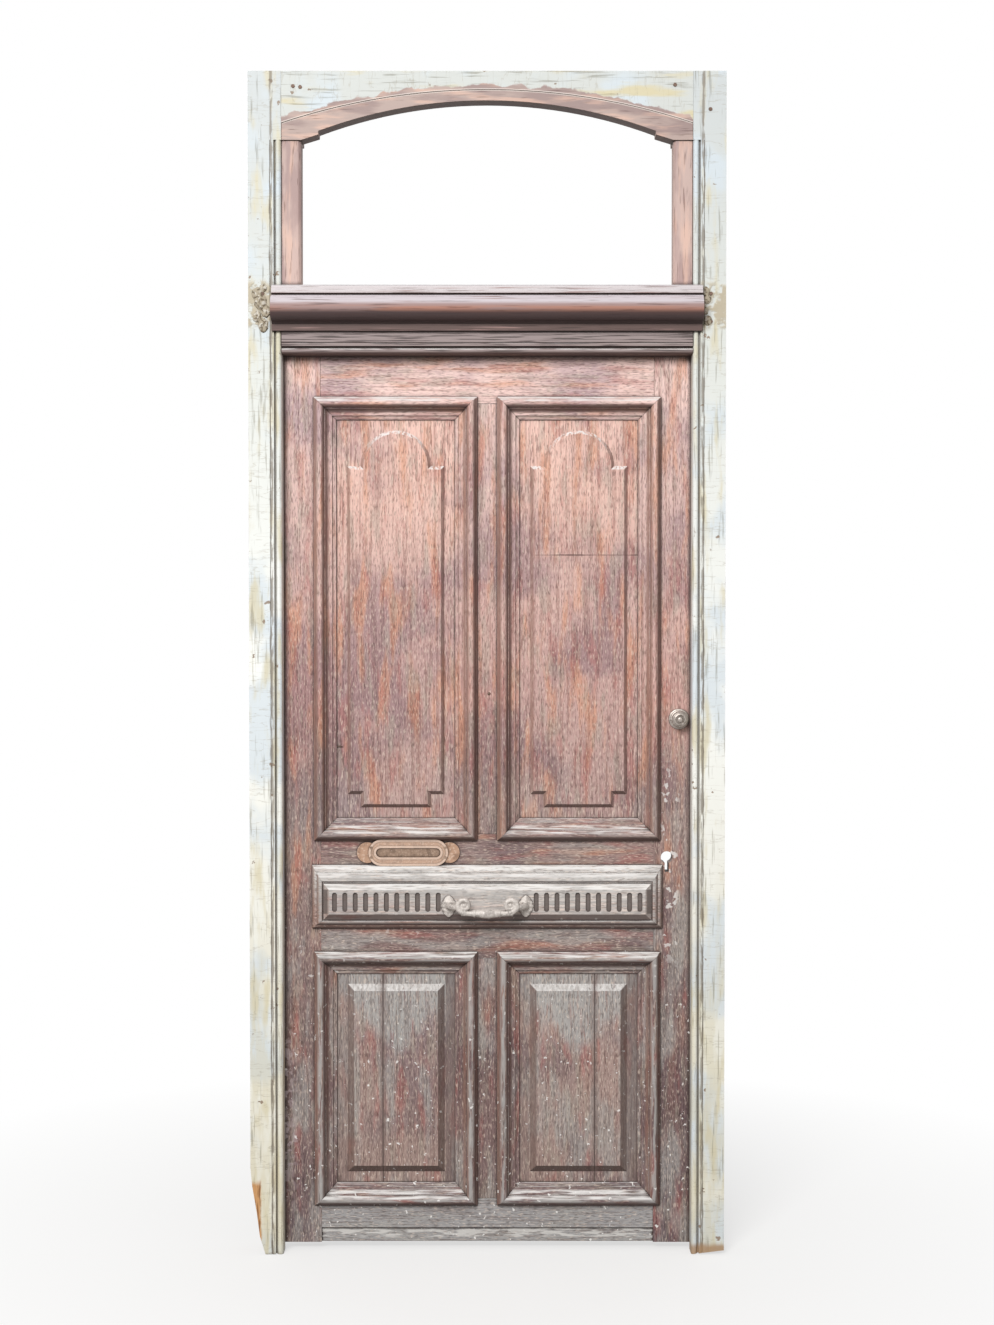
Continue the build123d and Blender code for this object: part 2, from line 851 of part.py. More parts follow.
def moulding(outline, x0, x1, z0, z1, side, widths):
    """One member of a moulded frame round the opening x0..x1, z0..z1.

    side is top, bottom, left or right; widths holds, for each side, how far its
    moulding reaches outside and inside the opening. The ends are mitred along
    the line from the outer to the inner corner.
    """
    middle_x = (x0 + x1) / 2
    middle_z = (z0 + z1) / 2
    start, inward, along, half, neighbours = {
        "left": ((x0, 0, middle_z), (1, 0, 0), (0, 0, 1), (z1 - z0) / 2, ("bottom", "top")),
        "right": ((x1, 0, middle_z), (-1, 0, 0), (0, 0, -1), (z1 - z0) / 2, ("top", "bottom")),
        "top": ((middle_x, 0, z1), (0, 0, -1), (1, 0, 0), (x1 - x0) / 2, ("left", "right")),
        "bottom": ((middle_x, 0, z0), (0, 0, 1), (-1, 0, 0), (x1 - x0) / 2, ("right", "left")),
    }[side]
    out_here, in_here = widths[side]
    with BuildPart() as member:
        with BuildSketch(Plane(origin=start, x_dir=inward, z_dir=along)):
            with BuildLine():
                add(outline)
            make_face()
        extrude(amount=half + max(out for out, _ in widths.values()), both=True)
        for direction, neighbour in zip((-1, 1), neighbours):
            out_there, in_there = widths[neighbour]
            # The mitre runs out by out_there while this member runs out by out_here
            corner = Vector(*start) + Vector(*along) * (direction * (half + out_there))
            corner = corner - Vector(*inward) * out_here
            run = Vector(*inward) * (out_here + in_here)
            run = run - Vector(*along) * (direction * (out_there + in_there))
            normal = run.cross(Vector(0, 1, 0)) * direction
            if normal.dot(Vector(*along)) * direction < 0:
                normal = normal * -1
            split(bisect_by=Plane(origin=corner, z_dir=normal), keep=Keep.BOTTOM)
    return member.part


sides = ("top", "bottom", "left", "right")
tall_widths = {side: (moulding_overlap, moulding_sight) for side in sides}
cross_widths = {
    "top": (cross_overlap_top, cross_top_width - cross_overlap_top),
    "bottom": (cross_overlap_bottom, cross_bottom_width - cross_overlap_bottom),
    "left": (cross_overlap_side, cross_side_width - cross_overlap_side),
    "right": (cross_overlap_side, cross_side_width - cross_overlap_side),
}
inner_edge = mullion_width / 2
tall_openings = {
    "upper_left": (-stile_inner, -inner_edge, upper_middle_top, top_rail_bottom),
    "upper_right": (inner_edge, stile_inner, upper_middle_top, top_rail_bottom),
    "lower_left": (-stile_inner, -inner_edge, bottom_rail_top, lower_middle_bottom),
    "lower_right": (inner_edge, stile_inner, bottom_rail_top, lower_middle_bottom),
}
cross_rect = (-stile_inner, stile_inner, lower_middle_top, upper_middle_bottom)


def plate_notch(member):
    """Cut a moulding back where the letter plate's edge is let into it."""
    with BuildPart() as notched:
        add(member)
        with BuildSketch(Plane.XZ.offset(-leaf_front)):
            with Locations((letter_x, letter_z)):
                SlotOverall(
                    plate_length + 2 * plate_let_in_play, plate_height + 2 * plate_let_in_play
                )
        extrude(amount=moulding_projection + cut_margin, mode=Mode.SUBTRACT)
    return notched.part


# Panels

def arched_outline(left, right, low, crown, inset):
    """Outline of the arched field, each of its edges moved in by inset."""
    middle = (left + right) / 2
    radius = (right - left) / 2 - shoulder
    spring = crown - radius - inset
    half = (right - left) / 2 - inset
    foot = low + inset
    with BuildLine(mode=Mode.PRIVATE) as outline:
        Polyline(
            (middle + radius - inset, spring),
            (middle + half, spring),
            (middle + half, foot + shoulder),
            (middle + half - shoulder, foot + shoulder),
            (middle + half - shoulder, foot),
            (middle - half + shoulder, foot),
            (middle - half + shoulder, foot + shoulder),
            (middle - half, foot + shoulder),
            (middle - half, spring),
            (middle - radius + inset, spring),
        )
        ThreePointArc(
            (middle - radius + inset, spring),
            (middle, crown - inset),
            (middle + radius - inset, spring),
        )
    return outline.line


def upper_panel(x0, x1, z0, z1):
    """Tall panel whose raised field has an arched head and notched lower corners."""
    edge = moulding_sight - groove_depth + panel_play
    inset = moulding_sight + field_margin
    field = (x0 + inset, x1 - inset, z0 + inset, z1 - inset)
    with BuildPart() as panel:
        block(x0 + edge, x1 - edge, panel_front, panel_back, z0 + edge, z1 - edge)
        with BuildSketch(Plane.XZ.offset(-panel_front)):
            with BuildLine():
                add(arched_outline(*field, 0))
            make_face()
        with BuildSketch(Plane.XZ.offset(-panel_front + upper_field_rise)):
            with BuildLine():
                add(arched_outline(*field, upper_bevel))
            make_face()
        loft(ruled=True)
    return panel.part


def lower_panel(x0, x1, z0, z1):
    """Panel whose rectangular raised field has a broad bevel."""
    edge = moulding_sight - groove_depth + panel_play
    inset = moulding_sight + field_margin
    width = x1 - x0 - 2 * inset
    height = z1 - z0 - 2 * inset
    middle = ((x0 + x1) / 2, (z0 + z1) / 2)
    with BuildPart() as panel:
        block(x0 + edge, x1 - edge, panel_front, panel_back, z0 + edge, z1 - edge)
        with BuildSketch(Plane.XZ.offset(-panel_front)):
            with Locations(middle):
                Rectangle(width, height)
        extrude(amount=lower_field_rise, taper=degrees(atan2(lower_bevel, lower_field_rise)))
    return panel.part


def cross_panel():
    """Panel that stands proud between the middle rails, fluted either side of the handle."""
    x0, x1, z0, z1 = cross_rect
    left = x0 + cross_widths["left"][1]
    right = x1 - cross_widths["right"][1]
    middle = ((left + right) / 2, cross_middle_z)
    width = right - left
    height = cross_high - cross_low
    field_height = height - 2 * cross_bevel
    field_end = width / 2 - cross_bevel
    proud = leaf_front - cross_projection
    # The flutes run from the field's ends up to the handle's feet
    foot_edge = handle_foot_x + handle_foot_width / 2
    flute_run = field_end - first_flute_from_field_end - flute_width / 2 - flute_handle_gap - foot_edge
    with BuildPart() as panel:
        block(
            x0 + cross_play,
            x1 - cross_play,
            leaf_front,
            frame_depth - cross_panel_back,
            z0 + cross_play,
            z1 - cross_play,
        )
        block(left, right, proud, leaf_front, cross_low, cross_high)
        with BuildSketch(Plane.XZ.offset(-proud)):
            with Locations(middle):
                Rectangle(width, height)
        extrude(amount=cross_bevel_rise, taper=degrees(atan2(cross_bevel, cross_bevel_rise)))
        with BuildSketch(Plane.XZ.offset(-cross_field_y)) as flutes:
            for side in (-1, 1):
                for number in range(int(flute_run / flute_pitch) + 1):
                    x = side * (field_end - first_flute_from_field_end - number * flute_pitch)
                    with Locations((x, middle[1])):
                        Rectangle(flute_width, field_height - 2 * flute_end_margin)
            chamfer(flutes.vertices(), flute_corner)
        extrude(amount=-flute_depth, mode=Mode.SUBTRACT)
        handle_bolt_holes()
    return panel.part


# Pull handle

def square_bar(x, z, half, y0, y1, mode=Mode.ADD):
    """Square bar along Y, added to or cut from the part being built."""
    block(x - half, x + half, y0, y1, z - half, z + half, mode)


def handle_bolt_holes():
    """Square holes of the two bolts, cut through the part being built."""
    for side in (-1, 1):
        square_bar(
            side * handle_foot_x,
            handle_z,
            bolt_half + screw_play,
            cross_field_y,
            frame_depth,
            Mode.SUBTRACT,
        )


def pull_handle():
    """Cast handle: two pointed feet, scrolled arms and a grip with a thicker middle."""
    grip_z = handle_z - handle_grip_drop
    grip_y = cross_field_y - handle_standoff
    scroll_y = grip_y - scroll_thickness / 2
    foot_y = cross_field_y - handle_foot_thickness
    # Half of the grip's outline, from its end to the edge of its thick middle
    half_outline = (
        (handle_grip_half, handle_grip_radius),
        (handle_collar_half, handle_grip_radius),
        (handle_collar_half, handle_collar_radius),
        (handle_swell_half, handle_collar_radius),
        (handle_swell_half, handle_swell_radius),
    )
    with BuildPart() as handle:
        with BuildSketch(Plane(origin=(0, grip_y, grip_z), x_dir=(1, 0, 0), z_dir=(0, 0, 1))):
            with BuildLine():
                Polyline(
                    (-handle_grip_half, 0),
                    *[(-x, radius) for x, radius in half_outline],
                    *reversed(half_outline),
                    (handle_grip_half, 0),
                    close=True,
                )
            make_face()
        revolve(axis=Axis((0, grip_y, grip_z), (1, 0, 0)))
        for side in (-1, 1):
            foot = side * handle_foot_x
            # Foot: a pointed leaf lying on the field
            with BuildSketch(Plane.XZ.offset(-cross_field_y)):
                with BuildLine():
                    tip = (foot, handle_z + handle_foot_height / 2)
                    heel = (foot, handle_z - handle_foot_height / 2)
                    ThreePointArc(heel, (foot - handle_foot_width / 2, handle_z), tip)
                    ThreePointArc(tip, (foot + handle_foot_width / 2, handle_z), heel)
                make_face()
            extrude(amount=handle_foot_thickness)
            # Arm: a curved strap from the foot out to the grip
            with BuildSketch(Plane.XY.offset(handle_z - handle_arm_height / 2)):
                with BuildLine():
                    outer = foot + side * handle_arm_width / 2
                    inner = foot - side * handle_arm_width / 2
                    end = side * scroll_x
                    front = TangentArc((outer, foot_y), (end, scroll_y), tangent=(0, -1))
                    Line((end, scroll_y), (end, scroll_y + scroll_thickness))
                    TangentArc((inner, foot_y), (end, scroll_y + scroll_thickness), tangent=(0, -1))
                    Line((inner, foot_y), front @ 0)
                make_face()
            extrude(amount=handle_arm_height)
            # Scroll: curls over from the end of the grip
            with BuildSketch(Plane.XZ.offset(-scroll_y - scroll_thickness)) as scroll:
                with Locations((side * scroll_x, handle_z + scroll_rise)):
                    Circle(scroll_radius)
                with Locations((side * (handle_grip_half - scroll_neck_inset), grip_z)):
                    Circle(scroll_neck_radius)
                make_hull()
            extrude(amount=scroll_thickness)
    return handle.part


def handle_bolts():
    """Square bolts from the handle's feet through the panel, each with its washer and nut."""
    back = frame_depth - cross_panel_back
    nut_y = back + bolt_washer_thickness
    nut_end = nut_y + bolt_nut_thickness
    with BuildPart() as bolts:
        for side in (-1, 1):
            x = side * handle_foot_x
            square_bar(x, handle_z, bolt_half, cross_field_y, nut_end + bolt_end)
            square_bar(x, handle_z, bolt_washer_half, back, nut_y)
            square_bar(x, handle_z, bolt_nut_half, nut_y, nut_end)
    return bolts.part


# Pull knob on its rose

def knob_tang(out, into, play, mode):
    """Square tang of the knob, from out in front of the leaf to into behind its face, or its hole."""
    square_bar(knob_x, knob_z, knob_tang_half + play, leaf_front - out, leaf_front + into, mode)


def knob_rose():
    """Round plate behind the knob, stepped towards its rim."""
    with BuildPart() as rose:
        for radius, thickness in (
            (rose_radius, rose_rim_thickness),
            (rose_front_radius, rose_thickness),
        ):
            with Locations(Location((knob_x, leaf_front, knob_z), (90, 0, 0))):
                Cylinder(radius, thickness, align=(Align.CENTER, Align.CENTER, Align.MIN))
        knob_tang(rose_thickness, 0, knob_tang_play, Mode.SUBTRACT)
    return rose.part


def pull_knob():
    """Turned knob with a ringed face, on a square tang driven into the stile."""
    top = -rose_thickness - knob_projection
    ring_floor = top + knob_boss_height
    face = ring_floor - knob_ring_depth
    rim = face + knob_step_height
    head = top + knob_head_thickness
    axis_plane = Plane(origin=(knob_x, leaf_front, knob_z), x_dir=(1, 0, 0), z_dir=(0, 0, 1))
    with BuildPart() as knob:
        with BuildSketch(axis_plane):
            with BuildLine():
                Polyline(
                    (0, -rose_thickness),
                    (knob_neck_radius, -rose_thickness),
                    (knob_neck_radius, head),
                    (knob_radius, head),
                    (knob_radius, rim),
                    (knob_step_radius, rim),
                    (knob_step_radius, face),
                    (knob_ring_radius, face),
                    (knob_ring_radius, ring_floor),
                    (knob_boss_radius, ring_floor),
                    (knob_boss_radius, top),
                    (0, top),
                    close=True,
                )
            make_face()
        revolve(axis=Axis((knob_x, leaf_front, knob_z), (0, 1, 0)))
        knob_tang(rose_thickness, knob_tang_length, 0, Mode.ADD)
    return knob.part


# Letter plate and flap

def plate_screws(play, mode):
    """Small screws at the ends of the letter plate, or their holes."""
    head = (plate_screw_head, plate_screw_head_depth)
    shank = (plate_screw_radius, plate_screw_length)
    for x in (-plate_screw_offset_x, plate_screw_offset_x):
        for z in (-plate_screw_offset_z, plate_screw_offset_z):
            origin = (letter_x + x, leaf_front - plate_thickness, letter_z + z)
            place = Plane(origin=origin, x_dir=(1, 0, 0), z_dir=(0, 1, 0))
            screw(place, head, shank, play, mode)


def letter_plate():
    """Stadium-shaped plate with round ears, raised rims and a pocket behind for the flap."""
    front = leaf_front - plate_thickness
    with BuildPart() as plate:
        with BuildSketch(Plane.XZ.offset(-leaf_front)):
            with Locations((letter_x - ear_offset, letter_z), (letter_x + ear_offset, letter_z)):
                Circle(ear_radius)
        extrude(amount=ear_thickness)
        with BuildSketch(Plane.XZ.offset(-leaf_front)):
            with Locations((letter_x, letter_z)):
                SlotOverall(plate_length, plate_height)
        extrude(amount=plate_thickness - rim_height)
        # Outer rim, hollow between it and the inner rim, and the inner rim round the opening
        with BuildSketch(Plane.XZ.offset(-front - rim_height)):
            with Locations((letter_x, letter_z)):
                SlotOverall(plate_length, plate_height)
                SlotOverall(
                    plate_length - 2 * rim_width, plate_height - 2 * rim_width, mode=Mode.SUBTRACT
                )
                SlotOverall(
                    letter_opening_length + 2 * rim_width, letter_opening_height + 2 * rim_width
                )
        extrude(amount=rim_height)
        with BuildSketch(Plane.XZ.offset(-leaf_front)):
            with Locations((letter_x, letter_z)):
                SlotOverall(letter_opening_length, letter_opening_height)
        extrude(amount=plate_thickness, mode=Mode.SUBTRACT)
        with BuildSketch(Plane.XZ.offset(-leaf_front)):
            with Locations((letter_x, letter_z)):
                Rectangle(flap_length + 2 * pocket_play, flap_height + 2 * pocket_play)
        extrude(amount=plate_thickness - plate_lip, mode=Mode.SUBTRACT)
        flap_pin_place(Mode.SUBTRACT)
        plate_screws(screw_play, Mode.SUBTRACT)
    return plate.part


flap_front = leaf_front - plate_thickness + plate_lip + flap_play
flap_axis_y = flap_front + flap_thickness / 2
flap_axis_z = letter_z + flap_height / 2 - flap_knuckle_radius


def flap_pin_place(mode, play=0.0):
    """Pin of the flap, or its holes, along the flap's upper edge."""
    half = flap_length / 2 + pocket_play + flap_pin_seat
    with Locations(Location((letter_x, flap_axis_y, flap_axis_z), (0, 90, 0))):
        Cylinder(flap_pin_radius + play, 2 * half, mode=mode)


def flap_pin():
    with BuildPart() as pin:
        flap_pin_place(Mode.ADD)
    return pin.part


def letter_flap():
    """Flap behind the plate's opening, turning on a pin through its rolled upper edge."""
    half = flap_length / 2
    low = letter_z - flap_height / 2
    with BuildPart() as flap:
        block(letter_x - half, letter_x + half, flap_front, flap_front + flap_thickness, low, flap_axis_z)
        with Locations(Location((letter_x, flap_axis_y, flap_axis_z), (0, 90, 0))):
            Cylinder(flap_knuckle_radius, flap_length)
        flap_pin_place(Mode.SUBTRACT, flap_pin_play)
    return flap.part


# Build and write every piece

finish(jamb(-1), "hinge_jamb")
finish(jamb(1), "lock_jamb")
finish(head_rail(), "head_rail")
finish(transom_bar(), "transom_bar")
finish(transom_nosing(), "transom_nosing")
finish(fanlight_stile(-1), "fanlight_stile_left")
finish(fanlight_stile(1), "fanlight_stile_right")
finish(nail_group(), "frame_nails")
for place, height in zip(("bottom", "middle", "top"), hinge_heights):
    finish(pin_half(height), f"hinge_pin_half_{place}")
    finish(barrel_half(height), f"hinge_barrel_half_{place}")
finish(screw_group(-1), "hinge_frame_screws")
finish(screw_group(1), "hinge_leaf_screws")
finish(stile(-1), "hinge_stile")
finish(stile(1), "lock_stile")
for rail_name in rail_places:
    finish(rail(rail_name), rail_name)
finish(mullion(upper_middle_top, top_rail_bottom), "upper_mullion")
finish(mullion(bottom_rail_top, lower_middle_bottom), "lower_mullion")
for opening_name, opening in tall_openings.items():
    tall_outline = tall_profile()
    for side_name in sides:
        member_part = moulding(tall_outline, *opening, side_name, tall_widths)
        if opening_name == "upper_left" and side_name == "bottom":
            member_part = plate_notch(member_part)
        finish(member_part, f"{opening_name}_moulding_{side_name}")
    if opening_name.startswith("upper"):
        finish(upper_panel(*opening), f"{opening_name}_panel")
    else:
        finish(lower_panel(*opening), f"{opening_name}_panel")
for side_name in sides:
    out_by, in_by = cross_widths[side_name]
    member_part = moulding(
        cross_profile(out_by, out_by + in_by), *cross_rect, side_name, cross_widths
    )
    if side_name == "top":
        member_part = plate_notch(member_part)
    finish(member_part, f"cross_moulding_{side_name}")
finish(cross_panel(), "cross_panel")
finish(pull_handle(), "pull_handle")
finish(handle_bolts(), "handle_bolts")
finish(knob_rose(), "knob_rose")
finish(pull_knob(), "pull_knob")
finish(letter_plate(), "letter_plate")
with BuildPart() as letter_screws:
    plate_screws(0, Mode.ADD)
finish(letter_screws.part, "letter_plate_screws")
finish(flap_pin(), "flap_pin")
finish(letter_flap(), "letter_flap")
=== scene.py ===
"""Old panelled oak front door, closed in its arched and painted frame."""

import logging
import math
from collections.abc import Callable
from dataclasses import dataclass, replace
from enum import Enum

import bpy
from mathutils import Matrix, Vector

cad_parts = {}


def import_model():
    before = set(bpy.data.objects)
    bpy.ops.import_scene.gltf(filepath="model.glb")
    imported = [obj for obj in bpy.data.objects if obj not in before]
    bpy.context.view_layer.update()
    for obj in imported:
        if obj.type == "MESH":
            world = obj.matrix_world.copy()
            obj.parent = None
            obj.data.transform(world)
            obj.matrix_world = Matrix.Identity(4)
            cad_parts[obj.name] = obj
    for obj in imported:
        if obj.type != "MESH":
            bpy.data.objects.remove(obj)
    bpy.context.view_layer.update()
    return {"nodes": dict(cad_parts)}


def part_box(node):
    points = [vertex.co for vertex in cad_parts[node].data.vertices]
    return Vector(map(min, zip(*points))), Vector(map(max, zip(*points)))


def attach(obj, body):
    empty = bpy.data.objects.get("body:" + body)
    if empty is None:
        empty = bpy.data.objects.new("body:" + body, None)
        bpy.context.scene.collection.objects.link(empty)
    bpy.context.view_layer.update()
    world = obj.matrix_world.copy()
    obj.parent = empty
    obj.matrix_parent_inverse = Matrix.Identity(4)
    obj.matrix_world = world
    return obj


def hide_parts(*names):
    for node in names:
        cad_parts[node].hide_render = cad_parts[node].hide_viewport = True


LOG = logging.getLogger("door")

# A millimetre, in metres
MM = 0.001

# How far a seed moves a pattern along X, Y and Z
SEED_SHIFT = (1.0, 0.7, 1.3)
# A wandering edge has bays some 35 mm wide, and a seed of its own
BAY_WIDTH = 35.0
BAY_SEED = 4.1
# Rise of the V that rain has washed, for each metre from a panel's middle
V_SLOPE = 1.1
CORNER_SAMPLES = 8

Colour = tuple[float, float, float, float]
Point = tuple[float, float, float]


class Run(Enum):
    """Which way the grain or the brush marks of a piece run."""

    UPRIGHT = "upright"
    LEVEL = "level"


class Source(Enum):
    """What a ramp reads at each point of a surface."""

    GRAIN = "noise stretched along the grain"
    CRACKS = "thin lines across the grain"
    SPOTS = "noise alike in every direction"
    RIGHT = "X in metres"
    DEEP = "Y in metres"
    HEIGHT = "Z in metres"
    FACING_UP = "upward part of the normal"
    FACING_RIGHT = "part of the normal along X"
    CORNER = "how open the surroundings are"
    UPRIGHT_LINE = "millimetres from an upright line"
    LEVEL_LINE = "millimetres from a level line"
    WEDGE = "metres above a V that points down at the middle of a panel"
    ARC = "millimetres outside a circle"


@dataclass(frozen=True)
class Ramp:
    """Share that grows from 0 where its source reads start to 1 where it reads end.

    across and along are the pattern's sizes in millimetres; for a corner, across is how
    far it looks, and for a circle its radius. place is where a line, a panel's middle or
    a circle's centre lies, in metres. wobble moves the reading up and down, in the
    source's own units.
    """

    source: Source
    start: float
    end: float
    across: float = 10.0
    along: float = 10.0
    place: float = 0.0
    seed: float = 0.0
    wobble: float = 0.0


@dataclass(frozen=True)
class Layer:
    """Colour laid over what is below it, as strong as its share times all of its ramps.

    relief is how far it raises the surface, in millimetres.
    """

    colour: str
    share: float
    ramps: tuple[Ramp, ...]
    mode: str = "MIX"
    relief: float = 0.0


def linear(hex_colour: str) -> Colour:
    """Turn an sRGB hex colour into the linear values that a shader takes.

    Args:
        hex_colour: Six hex digits after a hash sign.

    Returns:
        Red, green, blue and alpha.
    """
    values = [int(hex_colour[start : start + 2], 16) / 255 for start in (1, 3, 5)]
    red, green, blue = [v / 12.92 if v <= 0.04045 else ((v + 0.055) / 1.055) ** 2.4 for v in values]
    return (red, green, blue, 1.0)


def add_node(
    tree: bpy.types.NodeTree, kind: str, inputs: dict, output: int | str = 0, **settings: object
) -> bpy.types.NodeSocket | None:
    """Add a node with its settings and links.

    Args:
        tree: Node tree of the material or the world.
        kind: Node type, without the ShaderNode at its start.
        inputs: Value or linked socket for each input, by name or number.
        output: Which output to give back.
        **settings: Properties of the node.

    Returns:
        The chosen output socket, or None if the node has none.
    """
    node = tree.nodes.new(f"ShaderNode{kind}")
    for name, value in settings.items():
        setattr(node, name, value)
    for key, value in inputs.items():
        if isinstance(value, bpy.types.NodeSocket):
            tree.links.new(value, node.inputs[key])
        else:
            node.inputs[key].default_value = value
    return node.outputs[output] if node.outputs else None


@dataclass(frozen=True)
class Finish:
    """A surface: base colours by height, and the layers over them.

    stops hold a height in metres and the colour there. rough is the roughness and
    bump the strength of the relief.
    """

    name: str
    run: Run
    stops: tuple[tuple[float, str], ...]
    layers: tuple[Layer, ...]
    rough: float = 0.62
    metallic: float = 0.0
    bump: float = 1.0

    def noise(self, tree: bpy.types.NodeTree, ramp: Ramp) -> bpy.types.NodeSocket:
        """Noise of a ramp's sizes, along the grain, across it or alike in every direction.

        Args:
            tree: Node tree under way.
            ramp: The ramp.

        Returns:
            Socket with values about 0.5.
        """
        fine, long = 1 / (ramp.across * MM), 1 / (ramp.along * MM)
        upright = (self.run is Run.UPRIGHT) == (ramp.source is Source.GRAIN)
        scale = (fine, fine, long) if upright else (long, fine, fine)
        if ramp.source is Source.SPOTS:
            scale = (fine, fine, fine)
        shift = tuple(ramp.seed * part for part in SEED_SHIFT)
        place = add_node(tree, "TexCoord", {}, "Object")
        spot = add_node(tree, "Mapping", {0: place, 1: shift, 3: scale})
        return add_node(tree, "TexNoise", {"Vector": spot, "Scale": 1.0, "Detail": 4.0})

    def distance(self, tree: bpy.types.NodeTree, ramp: Ramp) -> bpy.types.NodeSocket:
        """Distance of a surface from a ramp's line, circle or V.

        Args:
            tree: Node tree under way.
            ramp: The ramp.

        Returns:
            Socket with millimetres, or with metres for the V.
        """
        place = add_node(tree, "TexCoord", {}, "Object")
        if ramp.source is Source.ARC:
            flat = add_node(tree, "Mapping", {0: place, 1: (0, 0, -ramp.place), 3: (1, 0, 1)})
            reach = add_node(tree, "VectorMath", {0: flat}, "Value", operation="LENGTH")
            return add_node(tree, "Math", {0: reach, 1: 1 / MM, 2: -ramp.across}, operation="MULTIPLY_ADD")
        if ramp.source is Source.WEDGE:
            side = add_node(tree, "SeparateXYZ", {0: place}, 0)
            side = add_node(tree, "Math", {0: side}, operation="ABSOLUTE")
            side = add_node(tree, "Math", {0: side, 1: ramp.place}, operation="SUBTRACT")
            side = add_node(tree, "Math", {0: side}, operation="ABSOLUTE")
            height = add_node(tree, "SeparateXYZ", {0: place}, 2)
            return add_node(tree, "Math", {0: side, 1: -V_SLOPE, 2: height}, operation="MULTIPLY_ADD")
        value = add_node(tree, "SeparateXYZ", {0: place}, 0 if ramp.source is Source.UPRIGHT_LINE else 2)
        value = add_node(tree, "Math", {0: value, 1: ramp.place}, operation="SUBTRACT")
        value = add_node(tree, "Math", {0: value, 1: 1 / MM}, operation="MULTIPLY")
        return add_node(tree, "Math", {0: value}, operation="ABSOLUTE")

    def reading(self, tree: bpy.types.NodeTree, ramp: Ramp) -> bpy.types.NodeSocket:
        """What a ramp reads, before it is turned into a share.

        Args:
            tree: Node tree under way.
            ramp: The ramp.

        Returns:
            Socket with the reading.
        """
        source = ramp.source
        if source in (Source.GRAIN, Source.SPOTS):
            return self.noise(tree, ramp)
        if source is Source.CRACKS:
            value = add_node(tree, "Math", {0: self.noise(tree, ramp), 1: 0.5}, operation="SUBTRACT")
            return add_node(tree, "Math", {0: value}, operation="ABSOLUTE")
        if source is Source.CORNER:
            reach = {"Distance": ramp.across * MM}
            return add_node(tree, "AmbientOcclusion", reach, "AO", samples=CORNER_SAMPLES)
        if source in (Source.ARC, Source.WEDGE, Source.UPRIGHT_LINE, Source.LEVEL_LINE):
            return self.distance(tree, ramp)
        if source in (Source.FACING_UP, Source.FACING_RIGHT):
            normal = add_node(tree, "NewGeometry", {}, "Normal")
            return add_node(tree, "SeparateXYZ", {0: normal}, 2 if source is Source.FACING_UP else 0)
        place = add_node(tree, "TexCoord", {}, "Object")
        axis = {Source.RIGHT: 0, Source.DEEP: 1, Source.HEIGHT: 2}[source]
        return add_node(tree, "SeparateXYZ", {0: place}, axis)

    def share(self, tree: bpy.types.NodeTree, layer: Layer) -> bpy.types.NodeSocket:
        """Share of one layer at each point: the product of its ramps.

        Args:
            tree: Node tree under way.
            layer: The layer.

        Returns:
            Socket with values from 0 to the layer's share.
        """
        total: bpy.types.NodeSocket | float = layer.share
        for ramp in layer.ramps:
            value = self.reading(tree, ramp)
            if ramp.wobble:
                wave = self.reading(tree, Ramp(Source.SPOTS, 0, 1, BAY_WIDTH, seed=ramp.seed + BAY_SEED))
                wave = add_node(tree, "Math", {0: wave, 1: 0.5}, operation="SUBTRACT")
                inputs = {0: wave, 1: ramp.wobble, 2: value}
                value = add_node(tree, "Math", inputs, operation="MULTIPLY_ADD")
            inputs = {0: value, 1: ramp.start, 2: ramp.end}
            value = add_node(tree, "MapRange", inputs, interpolation_type="SMOOTHSTEP")
            total = add_node(tree, "Math", {0: value, 1: total}, operation="MULTIPLY")
        return total

    def material(self) -> bpy.types.Material:
        """Build the node material, or give back the one that is built already.

        Returns:
            The material.
        """
        if self.name in bpy.data.materials:
            return bpy.data.materials[self.name]
        material = bpy.data.materials.new(self.name)
        material.use_nodes = True
        tree = material.node_tree
        tree.nodes.clear()
        level = self.reading(tree, Ramp(Source.HEIGHT, 0, 1))
        colour = linear(self.stops[0][1])
        for (low, _), (high, shade) in zip(self.stops, self.stops[1:]):
            part = add_node(tree, "MapRange", {0: level, 1: low, 2: high})
            colour = add_node(tree, "Mix", {0: part, 6: colour, 7: linear(shade)}, 2, data_type="RGBA")
        relief: bpy.types.NodeSocket | float = 0.0
        for layer in self.layers:
            share = self.share(tree, layer)
            inputs = {0: share, 6: colour, 7: linear(layer.colour)}
            colour = add_node(tree, "Mix", inputs, 2, data_type="RGBA", blend_type=layer.mode)
            if layer.relief:
                inputs = {0: share, 1: layer.relief * MM, 2: relief}
                relief = add_node(tree, "Math", inputs, operation="MULTIPLY_ADD")
        surface = {"Base Color": colour, "Roughness": self.rough, "Metallic": self.metallic}
        if relief != 0.0:
            inputs = {"Height": relief, "Strength": self.bump, "Distance": 1.0}
            surface["Normal"] = add_node(tree, "Bump", inputs)
        shader = add_node(tree, "BsdfPrincipled", surface)
        add_node(tree, "OutputMaterial", {"Surface": shader})
        return material


